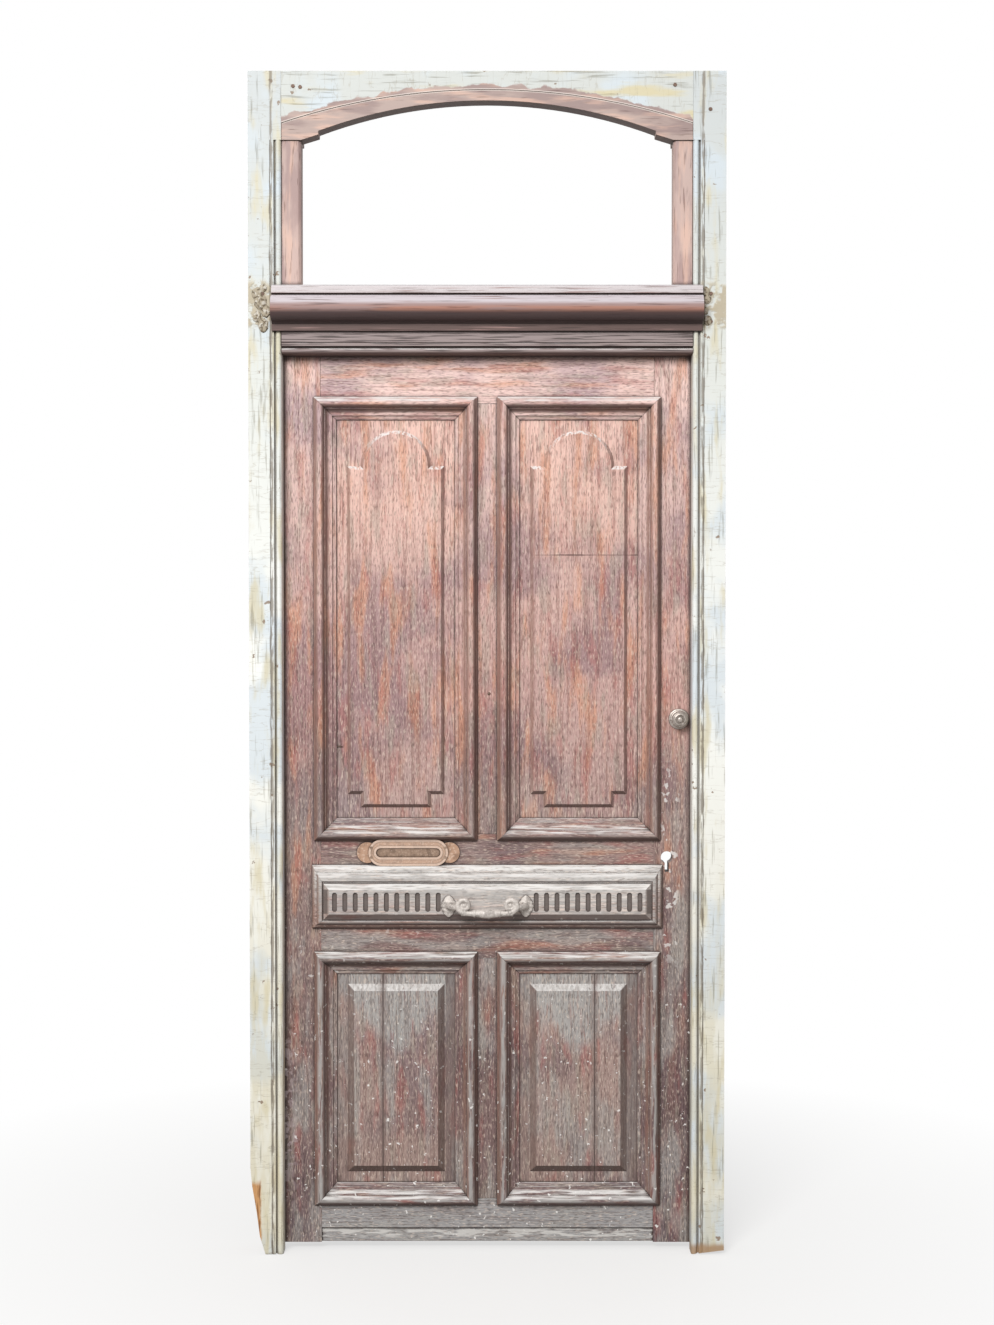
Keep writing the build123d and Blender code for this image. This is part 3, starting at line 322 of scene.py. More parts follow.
# Oak, planed and once stained, then left to sun and rain: matt, with open pores and dark
# fibres along the grain, pale ray flecks, and the stain left in red, orange and olive patches.
# Pores and fibres are drawn some 2.5 mm wide, coarser than real ones of 0.3 mm, because finer
# ones would not show in the render.
DARK_FIBRES = Layer("#AB958E", 0.5, (Ramp(Source.GRAIN, 0.54, 0.36, 4.5, 130, seed=1.1),), "MULTIPLY", -0.2)
PORES = Layer("#75605A", 0.55, (Ramp(Source.GRAIN, 0.5, 0.36, 2.4, 15, seed=2.3),), "MULTIPLY", -0.3)
RAY_FLECKS = Layer("#F2DDCB", 0.4, (Ramp(Source.GRAIN, 0.52, 0.68, 2.4, 13, seed=3.7),))
MAUVE_PATCHES = Layer("#C9C6D2", 0.85, (Ramp(Source.SPOTS, 0.46, 0.62, 210, seed=4.9),), "MULTIPLY")
ORANGE_PATCHES = Layer(
    "#D1926F",
    0.6,
    (Ramp(Source.GRAIN, 0.5, 0.66, 32, 190, seed=5.3), Ramp(Source.HEIGHT, 0.1, 1.2)),
)
RED_PATCHES = Layer("#A85E55", 0.42, (Ramp(Source.GRAIN, 0.52, 0.66, 26, 130, seed=6.1),))
OLIVE_PATCHES = Layer("#A39A8C", 0.4, (Ramp(Source.GRAIN, 0.53, 0.66, 20, 90, seed=9.4),))
# Silver grey where rain has taken the stain off, mostly below the middle
SILVERING = Layer(
    "#A3A09C",
    0.6,
    (Ramp(Source.GRAIN, 0.47, 0.62, 40, 170, seed=7.7), Ramp(Source.HEIGHT, 1.25, 0.75)),
)
# Chalky grey crests of the mouldings low down
SILVER_CRESTS = Layer(
    "#ACA9A6",
    0.75,
    (
        Ramp(Source.DEEP, 0.031, 0.024),
        Ramp(Source.GRAIN, 0.4, 0.54, 6, 70, seed=2.2),
        Ramp(Source.HEIGHT, 1.15, 0.65),
    ),
)
# Faces that look up are painted pale: bleached and dusty ledges, with a painted highlight from the light
# above
BLEACHED_LEDGES_AND_HIGHLIGHT = Layer(
    "#E6E3E0",
    0.88,
    (Ramp(Source.FACING_UP, 0.12, 0.6), Ramp(Source.GRAIN, 0.38, 0.6, 5, 60, seed=8.3)),
)
# Painted shade: faces that look down are painted dark brown
PAINTED_SHADE_UNDERSIDES = Layer("#4D3833", 0.82, (Ramp(Source.FACING_UP, -0.12, -0.6),))
# Painted light and shade on the sides: those that face right are painted dark brown, and
# those that face left a mid brown
PAINTED_SHADE_RIGHT_SIDES = Layer("#5A423B", 0.75, (Ramp(Source.FACING_RIGHT, 0.25, 0.75),))
PAINTED_TONE_LEFT_SIDES = Layer("#8A6A5D", 0.6, (Ramp(Source.FACING_RIGHT, -0.25, -0.75),))
# Dirt and painted shade: darker where the surroundings close in, in corners and creases
CORNER_DIRT_AND_SHADE = Layer("#33241F", 0.92, (Ramp(Source.CORNER, 0.92, 0.54, 15),))
# Specks of white paint on the front, thickest at the foot
PAINT_SPECKS = Layer(
    "#EFECE8",
    0.85,
    (
        Ramp(Source.SPOTS, 0.665, 0.69, 11, seed=9.1),
        Ramp(Source.HEIGHT, 1.0, 0.25),
        Ramp(Source.DEEP, 0.066, 0.062),
    ),
)
STAIN_PATCHES = (MAUVE_PATCHES, ORANGE_PATCHES, RED_PATCHES, OLIVE_PATCHES)
# Grain and wear, with the painted shade and highlight layers above
GRAIN_WEAR_AND_PAINTED_LIGHT = (
    DARK_FIBRES,
    PORES,
    RAY_FLECKS,
    SILVER_CRESTS,
    BLEACHED_LEDGES_AND_HIGHLIGHT,
    PAINTED_SHADE_UNDERSIDES,
    PAINTED_SHADE_RIGHT_SIDES,
    PAINTED_TONE_LEFT_SIDES,
    CORNER_DIRT_AND_SHADE,
    PAINT_SPECKS,
)
SILVERING_WEAR_AND_PAINTED_LIGHT = (SILVERING,) + GRAIN_WEAR_AND_PAINTED_LIGHT
OAK_LAYERS = STAIN_PATCHES + SILVERING_WEAR_AND_PAINTED_LIGHT

# Stiles, rails and mullions: grey brown at the foot, rosy higher up where less rain came,
# and paler towards the top, partly as painted light from above
LEAF_STOPS = (
    (0.02, "#7C6766"),
    (0.35, "#7D6461"),
    (0.75, "#866F6B"),
    (1.0, "#A1867F"),
    (1.25, "#C89E95"),
    (1.55, "#D0AEA6"),
    (1.85, "#DCBCB5"),
    (2.02, "#F0D0C8"),
)
# Keeps a layer on the fronts of the stiles, off the panels and the back
STILE_FRONT = Ramp(Source.DEEP, 0.05, 0.046)
# White drips on the lock stile
WHITE_DRIPS = Layer(
    "#DDD9D5",
    0.8,
    (
        Ramp(Source.UPRIGHT_LINE, 26.0, 10.0, place=0.414),
        Ramp(Source.LEVEL_LINE, 260.0, 160.0, place=0.88),
        Ramp(Source.SPOTS, 0.6, 0.63, 15, seed=6.6),
        STILE_FRONT,
    ),
)
# Pale mauve mildew low down on the hinge side
MILDEW = Layer(
    "#B9A9AC",
    0.6,
    (
        Ramp(Source.RIGHT, -0.425, -0.462, wobble=0.05, seed=2.4),
        Ramp(Source.LEVEL_LINE, 260.0, 120.0, place=0.32),
        Ramp(Source.SPOTS, 0.47, 0.56, 12, seed=7.3),
        STILE_FRONT,
    ),
)
UPRIGHT_OAK = Finish("weathered_oak_upright", Run.UPRIGHT, LEAF_STOPS, OAK_LAYERS + (WHITE_DRIPS, MILDEW))
LEVEL_OAK = Finish("weathered_oak_level", Run.LEVEL, LEAF_STOPS, OAK_LAYERS)

# Oak of the bottom rail, rained on most: its stain is gone and it is silver grey all over,
# with ragged remains of white paint along its foot
FOOT_PAINT = Layer(
    "#DAD7D2",
    0.75,
    (
        Ramp(Source.LEVEL_LINE, 12.0, 7.0, place=0.034, wobble=14.0, seed=5.2),
        Ramp(Source.DEEP, 0.06, 0.05),
        Ramp(Source.GRAIN, 0.44, 0.54, 6, 45, seed=8.8),
    ),
)
RAINED_STOPS = ((0.0, "#A19F9E"), (0.12, "#9F9C9C"))
RAINED_OAK = Finish("rained_oak_foot", Run.LEVEL, RAINED_STOPS, SILVERING_WEAR_AND_PAINTED_LIGHT + (FOOT_PAINT,))

# Oak panels, wider boards set in the leaf's frame: a little paler than the stiles, and paler
# towards the top, partly as painted light from above
PANEL_STOPS = (
    (0.1, "#9A837B"),
    (0.45, "#A68D85"),
    (0.62, "#A89894"),
    (1.05, "#B89790"),
    (1.3, "#C39E97"),
    (1.55, "#D5B0A6"),
    (1.75, "#E6BEB0"),
    (1.95, "#E7BFB3"),
)
# Split in the right upper panel
PANEL_SPLIT = Layer(
    "#5A403A",
    0.75,
    (Ramp(Source.LEVEL_LINE, 1.6, 0.7, place=1.578, wobble=5.0), Ramp(Source.RIGHT, 0.09, 0.14)),
)
UPPER_PANEL = Finish("weathered_oak_upper_panel", Run.UPRIGHT, PANEL_STOPS, OAK_LAYERS + (PANEL_SPLIT,))

# The lower panels are glued up of boards: each shows an open joint with a dark stain round it
LEFT_JOINT = -0.237
RIGHT_JOINT = 0.244
JOINTS = tuple(
    Layer(
        colour,
        share,
        (Ramp(Source.UPRIGHT_LINE, start, end, place=place, wobble=2.0, seed=seed),),
        relief=relief,
    )
    for place, seed in ((LEFT_JOINT, 1.7), (RIGHT_JOINT, 3.3))
    for colour, share, start, end, relief in (
        ("#6F5A54", 0.5, 11.0, 3.0, 0.0),
        ("#3F2F2B", 0.8, 1.8, 0.8, -0.8),
    )
)
# Rain has silvered their heads in a V that points down at each panel's middle
PANEL_MIDDLE = 0.207
SILVER_HEAD = Layer(
    "#A8A6A3",
    0.85,
    (
        Ramp(Source.WEDGE, 0.42, 0.47, place=PANEL_MIDDLE, wobble=0.06),
        Ramp(Source.GRAIN, 0.3, 0.46, 5, 50, seed=2.9),
        Ramp(Source.DEEP, 0.058, 0.054),
    ),
)
# Their edges beside the moulding get painted shade, more of it at the right of each panel.
# Their sloped margins are painted pale where they face up, partly weathered grey and partly a
# painted highlight, and get painted shade where they face down or aside.
PANEL_INNER = 0.079
PANEL_OUTER = 0.333
MARGIN_SHADE_AND_LIGHT = tuple(
    Layer("#5E4F4C", share, (Ramp(Source.UPRIGHT_LINE, 19.0, 14.0, place=place, wobble=3.0),))
    for place, share in ((-PANEL_OUTER, 0.3), (-PANEL_INNER, 0.6), (PANEL_INNER, 0.3), (PANEL_OUTER, 0.6))
) + (
    Layer(
        "#C2BDB9",
        0.6,
        (Ramp(Source.FACING_UP, 0.03, 0.1), Ramp(Source.GRAIN, 0.36, 0.52, 5, 40, seed=4.4)),
    ),
    Layer("#3E302C", 0.6, (Ramp(Source.FACING_UP, -0.03, -0.1),)),
    Layer("#57443E", 0.5, (Ramp(Source.FACING_RIGHT, -0.03, -0.1),)),
    Layer("#4A3833", 0.6, (Ramp(Source.FACING_RIGHT, 0.03, 0.1),)),
)
LOWER_PANEL = Finish(
    "weathered_oak_lower_panel",
    Run.UPRIGHT,
    PANEL_STOPS,
    STAIN_PATCHES + (SILVERING, SILVER_HEAD) + GRAIN_WEAR_AND_PAINTED_LIGHT + MARGIN_SHADE_AND_LIGHT + JOINTS,
)

# Oak of the cross panel and its moulding, bleached by sun and rain: nearly white, with red
# stain left at the panel's left end, and dirt and painted shade in its flutes
# Darker towards the bottom, partly painted shade below the raised field
CROSS_STOPS = ((0.75, "#BFACA5"), (0.8, "#DCD2CB"), (0.83, "#E8E3DE"))
CROSS_RED = Layer(
    "#A86A5E",
    0.6,
    (Ramp(Source.RIGHT, -0.12, -0.3), Ramp(Source.GRAIN, 0.4, 0.62, 30, 90, seed=5.9)),
)
# Dirt and painted shade in the flutes
FLUTE_SHADE_AND_DIRT = Layer(
    "#5C514C",
    0.85,
    (
        Ramp(Source.DEEP, 0.0152, 0.0168),
        Ramp(Source.DEEP, 0.028, 0.024),
        Ramp(Source.LEVEL_LINE, 29.0, 26.0, place=0.795),
        Ramp(Source.UPRIGHT_LINE, 378.0, 374.0),
    ),
)
CROSS_LAYERS = (CROSS_RED,) + SILVERING_WEAR_AND_PAINTED_LIGHT + (FLUTE_SHADE_AND_DIRT,)
CROSS_PANEL = Finish("weathered_oak_cross_panel", Run.LEVEL, CROSS_STOPS, CROSS_LAYERS)
# Darker towards the bottom, partly painted shade below the moulding; the pale top is bleached
CROSS_MOULDING_STOPS = ((0.74, "#A98D83"), (0.79, "#AD948C"), (0.84, "#CFCAC5"), (0.87, "#DFDCD8"))
CROSS_MOULDING = Finish("bleached_oak_moulding", Run.LEVEL, CROSS_MOULDING_STOPS, SILVERING_WEAR_AND_PAINTED_LIGHT)

# Oak of the fanlight, sheltered and still stained: even rosy brown, with a fine dark grain
STRIP_GRAIN = (
    Layer("#C3B8C0", 0.6, (Ramp(Source.GRAIN, 0.45, 0.6, 40, 160, seed=1.9),), "MULTIPLY"),
    Layer("#E3BBA6", 0.5, (Ramp(Source.GRAIN, 0.5, 0.66, 16, 120, seed=2.7),)),
    Layer("#8B7770", 0.6, (Ramp(Source.GRAIN, 0.42, 0.3, 4, 60, seed=3.1),), "MULTIPLY", -0.3),
)
STRIP_STOPS = ((2.2, "#C5AAA1"), (2.5, "#BFA79F"))
STRIP_LAYERS = STRIP_GRAIN + (PAINTED_SHADE_UNDERSIDES, CORNER_DIRT_AND_SHADE)
STRIP_OAK = Finish("rose_stained_oak_upright", Run.UPRIGHT, STRIP_STOPS, STRIP_LAYERS)
# The nosing, of the same oak: a painted lilac grey highlight on its crown and its upper
# fillet, an orange streak low on its round, and painted shade below
NOSING_LAYERS = (
    Layer(
        "#B27254",
        0.55,
        (
            Ramp(Source.LEVEL_LINE, 13.0, 6.0, place=2.117),
            Ramp(Source.GRAIN, 0.36, 0.56, 9, 260, seed=4.3),
        ),
    ),
    # Painted highlight on faces that look up
    Layer(
        "#C9C1C6",
        0.9,
        (Ramp(Source.FACING_UP, 0.12, 0.45), Ramp(Source.GRAIN, 0.24, 0.42, 4, 110, seed=5.1)),
    ),
    # Painted highlight on the upper fillet
    Layer(
        "#D0CACB",
        0.85,
        (Ramp(Source.HEIGHT, 2.157, 2.161), Ramp(Source.GRAIN, 0.34, 0.46, 3, 140, seed=7.9)),
    ),
    # Painted shade on the lower fillet
    Layer(
        "#4B3833",
        0.85,
        (Ramp(Source.HEIGHT, 2.099, 2.094), Ramp(Source.GRAIN, 0.3, 0.46, 4, 160, seed=3.3)),
    ),
    Layer("#8B7770", 0.6, (Ramp(Source.GRAIN, 0.44, 0.32, 4, 90, seed=6.3),), "MULTIPLY", -0.3),
    # Painted shade on faces that look down
    Layer("#37292A", 0.92, (Ramp(Source.FACING_UP, -0.08, -0.5),)),
    CORNER_DIRT_AND_SHADE,
)
NOSING_STOPS = ((2.0, "#7F5B52"), (2.2, "#A38A87"))
NOSING_OAK = Finish("rose_stained_oak_nosing", Run.LEVEL, NOSING_STOPS, NOSING_LAYERS)
# The transom bar, of oak whose stain is gone: grey brown, with long dark lines on its face
TRANSOM_LINES = Layer(
    "#4E3D38",
    0.8,
    (Ramp(Source.GRAIN, 0.5, 0.4, 3.4, 130, seed=7.1), Ramp(Source.FACING_UP, 0.6, 0.2)),
    "MULTIPLY",
    -0.4,
)
TRANSOM_OAK = Finish(
    "grey_brown_oak_transom",
    Run.LEVEL,
    ((2.0, "#8C7B78"), (2.06, "#958684"), (2.2, "#A99C9C")),
    (TRANSOM_LINES, BLEACHED_LEDGES_AND_HIGHLIGHT, PAINTED_SHADE_UNDERSIDES, CORNER_DIRT_AND_SHADE),
)

# Oil paint, brushed on and chalked: off-white and nearly matt, with cool and ochre stains,
# hair cracks across the brush marks, and brown wood where flakes have come off
PAINT_STOPS = ((0.0, "#E5E1D1"), (0.7, "#EBEAE0"), (1.3, "#F3F4EF"), (2.1, "#D3D6D1"), (2.6, "#C4C9C9"))
COOL_CLOUDS = Layer("#CBD6DE", 0.7, (Ramp(Source.SPOTS, 0.46, 0.62, 150, seed=0.7),))
OCHRE_STAINS = Layer("#CFC49F", 0.7, (Ramp(Source.GRAIN, 0.5, 0.68, 30, 150, seed=1.3),))
OCHRE_FOOT = Layer(
    "#D2C8A8",
    0.45,
    (Ramp(Source.GRAIN, 0.42, 0.58, 22, 130, seed=8.7), Ramp(Source.HEIGHT, 1.0, 0.35)),
)
GREY_STREAKS = Layer("#A9A498", 0.6, (Ramp(Source.GRAIN, 0.42, 0.3, 5, 90, seed=2.1),), "MULTIPLY", -0.2)
HAIR_CRACKS = Layer("#9A8F78", 0.3, (Ramp(Source.CRACKS, 0.012, 0.003, 16, 120, seed=3.9),), relief=-0.3)
FLAKES = Layer("#8C7763", 0.9, (Ramp(Source.SPOTS, 0.69, 0.71, 26, seed=4.7),), relief=-0.4)
# Dark broken lines down the quirk of each jamb
QUIRK_PLACE = 0.483
QUIRK_DARK_LINES = tuple(
    Layer(
        "#75695A",
        0.75,
        (
            Ramp(Source.UPRIGHT_LINE, 5.0, 1.5, place=side * QUIRK_PLACE, wobble=9.0, seed=side * 1.9),
            Ramp(Source.GRAIN, 0.36, 0.5, 6, 40, seed=6.7),
        ),
        relief=-0.5,
    )
    for side in (-1, 1)
)
# Dirt and painted shade on the paint: darker where the surroundings close in, in corners and quirks
PAINT_CORNER_SHADE_AND_DIRT = Layer("#5C5044", 0.75, (Ramp(Source.CORNER, 0.8, 0.4, 14),))
# Raw wood: on the left where the foot broke off, on the right along the sawn end
BROKEN_FOOT = (Ramp(Source.RIGHT, -0.508, -0.514, wobble=0.02), Ramp(Source.HEIGHT, 0.17, 0.15, wobble=0.04))
RAW_WOOD = (
    Layer("#C9935C", 0.95, BROKEN_FOOT),
    Layer("#7A4A22", 0.8, BROKEN_FOOT + (Ramp(Source.GRAIN, 0.5, 0.36, 4, 40, seed=1.5),), relief=-1.0),
    Layer(
        "#A5825E",
        0.85,
        (Ramp(Source.RIGHT, 0.45, 0.46), Ramp(Source.HEIGHT, 0.03, 0.015, wobble=0.02)),
    ),
)
# Mortar smeared over the jambs beside the nosing's ends
MORTAR_SMEARS = tuple(
    Layer(
        "#B4A88F",
        0.9,
        (
            Ramp(Source.LEVEL_LINE, 58.0, 40.0, place=2.135, wobble=50.0, seed=side),
            Ramp(Source.RIGHT, side * 0.474, side * 0.479),
            Ramp(Source.DEEP, 0.02, 0.008),
            Ramp(Source.SPOTS, 0.4, 0.52, 22, seed=3.5),
        ),
        relief=1.2,
    )
    for side in (-1, 1)
)
PAINT_LAYERS = (COOL_CLOUDS, OCHRE_STAINS, OCHRE_FOOT, GREY_STREAKS, HAIR_CRACKS, FLAKES)
JAMB_PAINT = Finish(
    "chalked_oil_paint_upright",
    Run.UPRIGHT,
    PAINT_STOPS,
    PAINT_LAYERS + QUIRK_DARK_LINES + MORTAR_SMEARS + (PAINT_CORNER_SHADE_AND_DIRT,) + RAW_WOOD,
    rough=0.58,
)

# The head rail is bare rosy oak along its arch, under the same paint, which ends in a ragged
# edge, and a pale line follows the arch. Height of the arch's centre in metres, and its radius
# in millimetres:
ARCH_CENTRE = 1.1473
ARCH_RADIUS = 1466.7
ABOVE_BAND = Ramp(Source.ARC, 8.0, 12.0, ARCH_RADIUS, place=ARCH_CENTRE, wobble=34.0, seed=0.9)
HEAD_COAT = Layer("#C9CCC8", 1.0, ())
HEAD_PAINT = tuple(
    replace(layer, ramps=layer.ramps + (ABOVE_BAND,))
    for layer in (
        HEAD_COAT,
        COOL_CLOUDS,
        replace(OCHRE_STAINS, share=0.9),
        GREY_STREAKS,
        HAIR_CRACKS,
        FLAKES,
    )
)
ARCH_LINE = Layer(
    "#EDE3DB",
    0.7,
    (
        Ramp(Source.ARC, 3.0, 1.0, ARCH_RADIUS, place=ARCH_CENTRE),
        Ramp(Source.ARC, -3.5, -1.0, ARCH_RADIUS, place=ARCH_CENTRE),
    ),
)
HEAD_FINISH = Finish(
    "painted_and_bare_oak_head",
    Run.LEVEL,
    ((2.4, "#AE9890"), (2.7, "#B3A098")),
    STRIP_GRAIN + (ARCH_LINE,) + HEAD_PAINT + (PAINTED_SHADE_UNDERSIDES, replace(PAINT_CORNER_SHADE_AND_DIRT, share=0.6)),
)


def old_metal(name: str, base: str, bright: str, dark: str, metallic: float, rough: float) -> Finish:
    """Finish of a metal dulled outdoors: rubbed bright in spots, dark in its hollows.

    Args:
        name: Name of the material.
        base: Its main colour.
        bright: Colour where it is rubbed.
        dark: Colour in its hollows.
        metallic: Metallic share.
        rough: Roughness.

    Returns:
        The finish.
    """
    layers = (
        Layer(dark, 0.45, (Ramp(Source.SPOTS, 0.48, 0.64, 16, seed=0.9),)),
        Layer(bright, 0.5, (Ramp(Source.SPOTS, 0.5, 0.66, 4, seed=2.9),), relief=0.15),
        Layer(dark, 0.95, (Ramp(Source.CORNER, 0.94, 0.55, 9),)),
    )
    return Finish(name, Run.UPRIGHT, ((0.0, base),), layers, rough=rough, metallic=metallic)


# Wrought iron, forged and long rusted: dark brown and nearly matt
RUSTED_IRON = old_metal("rusted_wrought_iron", "#6B5549", "#8C7363", "#3B2C26", 0.4, 0.65)
# Bronze, cast and tarnished: brown, with a dull warm shine where it is rubbed
BRONZE = old_metal("tarnished_bronze", "#AD8B74", "#CFB9A8", "#5E4738", 0.6, 0.48)
# The same on the letter plate, whose raised rims are rubbed paler
PLATE_BRONZE = replace(
    BRONZE,
    name="tarnished_bronze_plate",
    layers=BRONZE.layers + (Layer("#D6C0B0", 0.6, (Ramp(Source.DEEP, 0.0372, 0.0354),)),),
)
# The same on the flap, out of reach of hands: darker and duller
FLAP_BRONZE = old_metal("darkened_bronze", "#8F7765", "#B09A89", "#48372D", 0.5, 0.5)
# Cast iron, pitted, its thin coat of dust and lime gone pale: mottled light grey, hardly any shine
CAST_IRON = old_metal("pitted_cast_iron", "#CAC2BB", "#EBE6E0", "#655A54", 0.25, 0.62)
# Brass, turned and tarnished: grey-brown with a soft shine on its rings
BRASS = old_metal("tarnished_turned_brass", "#A59B93", "#CDC5BD", "#665C54", 0.7, 0.45)
# Lime mortar, thrown on and broken off: crumbly, matt, grey with paler sand and dark pits
MORTAR = Finish(
    "lime_mortar",
    Run.UPRIGHT,
    ((0.0, "#ABA08C"),),
    (
        Layer("#D6D1C6", 0.8, (Ramp(Source.SPOTS, 0.52, 0.62, 12, seed=1.3),)),
        Layer("#6A5C49", 0.85, (Ramp(Source.SPOTS, 0.48, 0.4, 6, seed=2.3),), relief=-0.8),
        # Painted shade: darker where the surroundings close in
        Layer("#6B5F4C", 0.8, (Ramp(Source.CORNER, 0.85, 0.4, 10),)),
    ),
    rough=0.9,
)


def frame_box(node: str) -> tuple[Vector, Vector]:
    """Corners of a CAD node's box, in millimetres.

    Args:
        node: Name of the node.

    Returns:
        Its lowest and its highest corner.
    """
    low, high = ([round(part / MM, 3) for part in corner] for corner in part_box(node))
    return Vector(low), Vector(high)


def deselect_all() -> None:
    """Leave nothing selected and no object in edit mode."""
    if bpy.context.object and bpy.context.object.mode != "OBJECT":
        bpy.ops.object.mode_set(mode="OBJECT")
    bpy.ops.object.select_all(action="DESELECT")


def make_active(piece: bpy.types.Object) -> None:
    """Select one object alone and make it the active one.

    Args:
        piece: The object.
    """
    deselect_all()
    piece.select_set(True)
    bpy.context.view_layer.objects.active = piece


def apply_modifier(piece: bpy.types.Object, kind: str, **settings: object) -> None:
    """Add a modifier with its settings and apply it.

    Args:
        piece: Object that gets it.
        kind: Modifier type, such as BEVEL.
        **settings: Properties of the modifier.
    """
    make_active(piece)
    modifier = piece.modifiers.new(kind.lower(), kind)
    for name, value in settings.items():
        setattr(modifier, name, value)
    bpy.ops.object.modifier_apply(modifier=modifier.name)


def settle(piece: bpy.types.Object, name: str, smooth_angle: float) -> bpy.types.Object:
    """Name a piece, move its place into its mesh, and shade it smooth below an angle.

    Args:
        piece: The piece.
        name: Its name.
        smooth_angle: Angle between faces, in degrees, from which an edge stays sharp.

    Returns:
        The same piece.
    """
    piece.name = name
    piece.data.name = name
    make_active(piece)
    bpy.ops.object.transform_apply(location=True, rotation=True, scale=True)
    bpy.ops.object.shade_smooth_by_angle(angle=math.radians(smooth_angle))
    return piece


def seat(piece: bpy.types.Object, body: str, finish: Finish, *nodes: str) -> None:
    """Dress a finished piece, let it ride a body, and hide the nodes that it replaces.

    Args:
        piece: The piece, in place.
        body: CAD body that carries it.
        finish: Its finish.
        *nodes: CAD nodes that it stands for.
    """
    piece.data.materials.clear()
    piece.data.materials.append(finish.material())
    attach(piece, body)
    if nodes:
        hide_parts(*nodes)
    LOG.info("%s on %s, %s", piece.name, body, finish.name)


def join(pieces: list[bpy.types.Object]) -> bpy.types.Object:
    """Join pieces into the first of them.

    Args:
        pieces: The pieces.

    Returns:
        The first piece, with the meshes of all.
    """
    make_active(pieces[0])
    for piece in pieces:
        piece.select_set(True)
    bpy.ops.object.join()
    return pieces[0]


def mirrored(piece: bpy.types.Object) -> bpy.types.Object:
    """Copy a piece to the other side of the door's middle.

    Args:
        piece: A piece that sits at the origin, with its place in its mesh.

    Returns:
        The copy, with a mesh of its own.
    """
    make_active(piece)
    bpy.ops.object.duplicate()
    bpy.ops.object.mode_set(mode="EDIT")
    bpy.ops.mesh.select_all(action="SELECT")
    bpy.ops.transform.resize(value=(-1, 1, 1), center_override=(0, 0, 0))
    bpy.ops.mesh.normals_make_consistent(inside=False)
    bpy.ops.object.mode_set(mode="OBJECT")
    return bpy.context.object


@dataclass(frozen=True)
class Ring:
    """Cross-section of a ringed piece, in millimetres: half its width and depth, and its height."""

    width: float
    depth: float
    height: float


def ringed(rings: list[Ring], sides: int) -> bpy.types.Object:
    """Upright piece drawn out of a circle from ring to ring, closed at both ends.

    Args:
        rings: Its cross-sections from one end to the other.
        sides: Faces round it.

    Returns:
        The piece about the world's Z axis.
    """
    deselect_all()
    bpy.ops.mesh.primitive_circle_add(vertices=sides, radius=MM, fill_type="NGON", location=(0, 0, 0))
    piece = bpy.context.object
    bpy.ops.object.mode_set(mode="EDIT")
    bpy.ops.transform.translate(value=(0, 0, rings[0].height * MM))
    bpy.ops.transform.resize(value=(rings[0].width, rings[0].depth, 1), center_override=(0, 0, 0))
    for last, ring in zip(rings, rings[1:]):
        step = (0, 0, (ring.height - last.height) * MM)
        bpy.ops.mesh.extrude_region_move(TRANSFORM_OT_translate={"value": step})
        growth = (ring.width / last.width, ring.depth / last.depth, 1)
        bpy.ops.transform.resize(value=growth, center_override=(0, 0, ring.height * MM))
    bpy.ops.mesh.select_all(action="SELECT")
    bpy.ops.mesh.normals_make_consistent(inside=False)
    bpy.ops.object.mode_set(mode="OBJECT")
    return piece


def turned(centre: Point, profile: tuple[tuple[float, float], ...], sides: int) -> bpy.types.Object:
    """Round piece turned about an axis that points at the street.

    Args:
        centre: Point on its axis, in millimetres.
        profile: Radius of each point, and how far it stands out of the centre.
        sides: Faces round it.

    Returns:
        The turned piece.
    """
    piece = ringed([Ring(radius, radius, out) for radius, out in profile], sides)
    piece.rotation_euler = (math.radians(90), 0, 0)
    piece.location = Vector(centre) * MM
    return piece


def rod(path: Callable[[float], Point], radius: Callable[[float], float], steps: int) -> bpy.types.Object:
    """Round rod along a path, closed at both ends.

    Args:
        path: Rule from the share along it to a point in millimetres.
        radius: Rule from the share along it to the radius there, in millimetres.
        steps: Faces along it.

    Returns:
        The rod as a mesh.
    """
    deselect_all()
    bpy.ops.curve.primitive_nurbs_path_add(location=(0, 0, 0))
    piece = bpy.context.object
    curve = piece.data
    curve.splines.clear()
    spline = curve.splines.new("POLY")
    spline.points.add(steps)
    for number, point in enumerate(spline.points):
        share = number / steps
        point.co = (*(Vector(path(share)) * MM), 1.0)
        point.radius = radius(share)
    curve.bevel_depth = MM
    curve.bevel_resolution = 6
    curve.use_fill_caps = True
    make_active(piece)
    bpy.ops.object.convert(target="MESH")
    return bpy.context.object


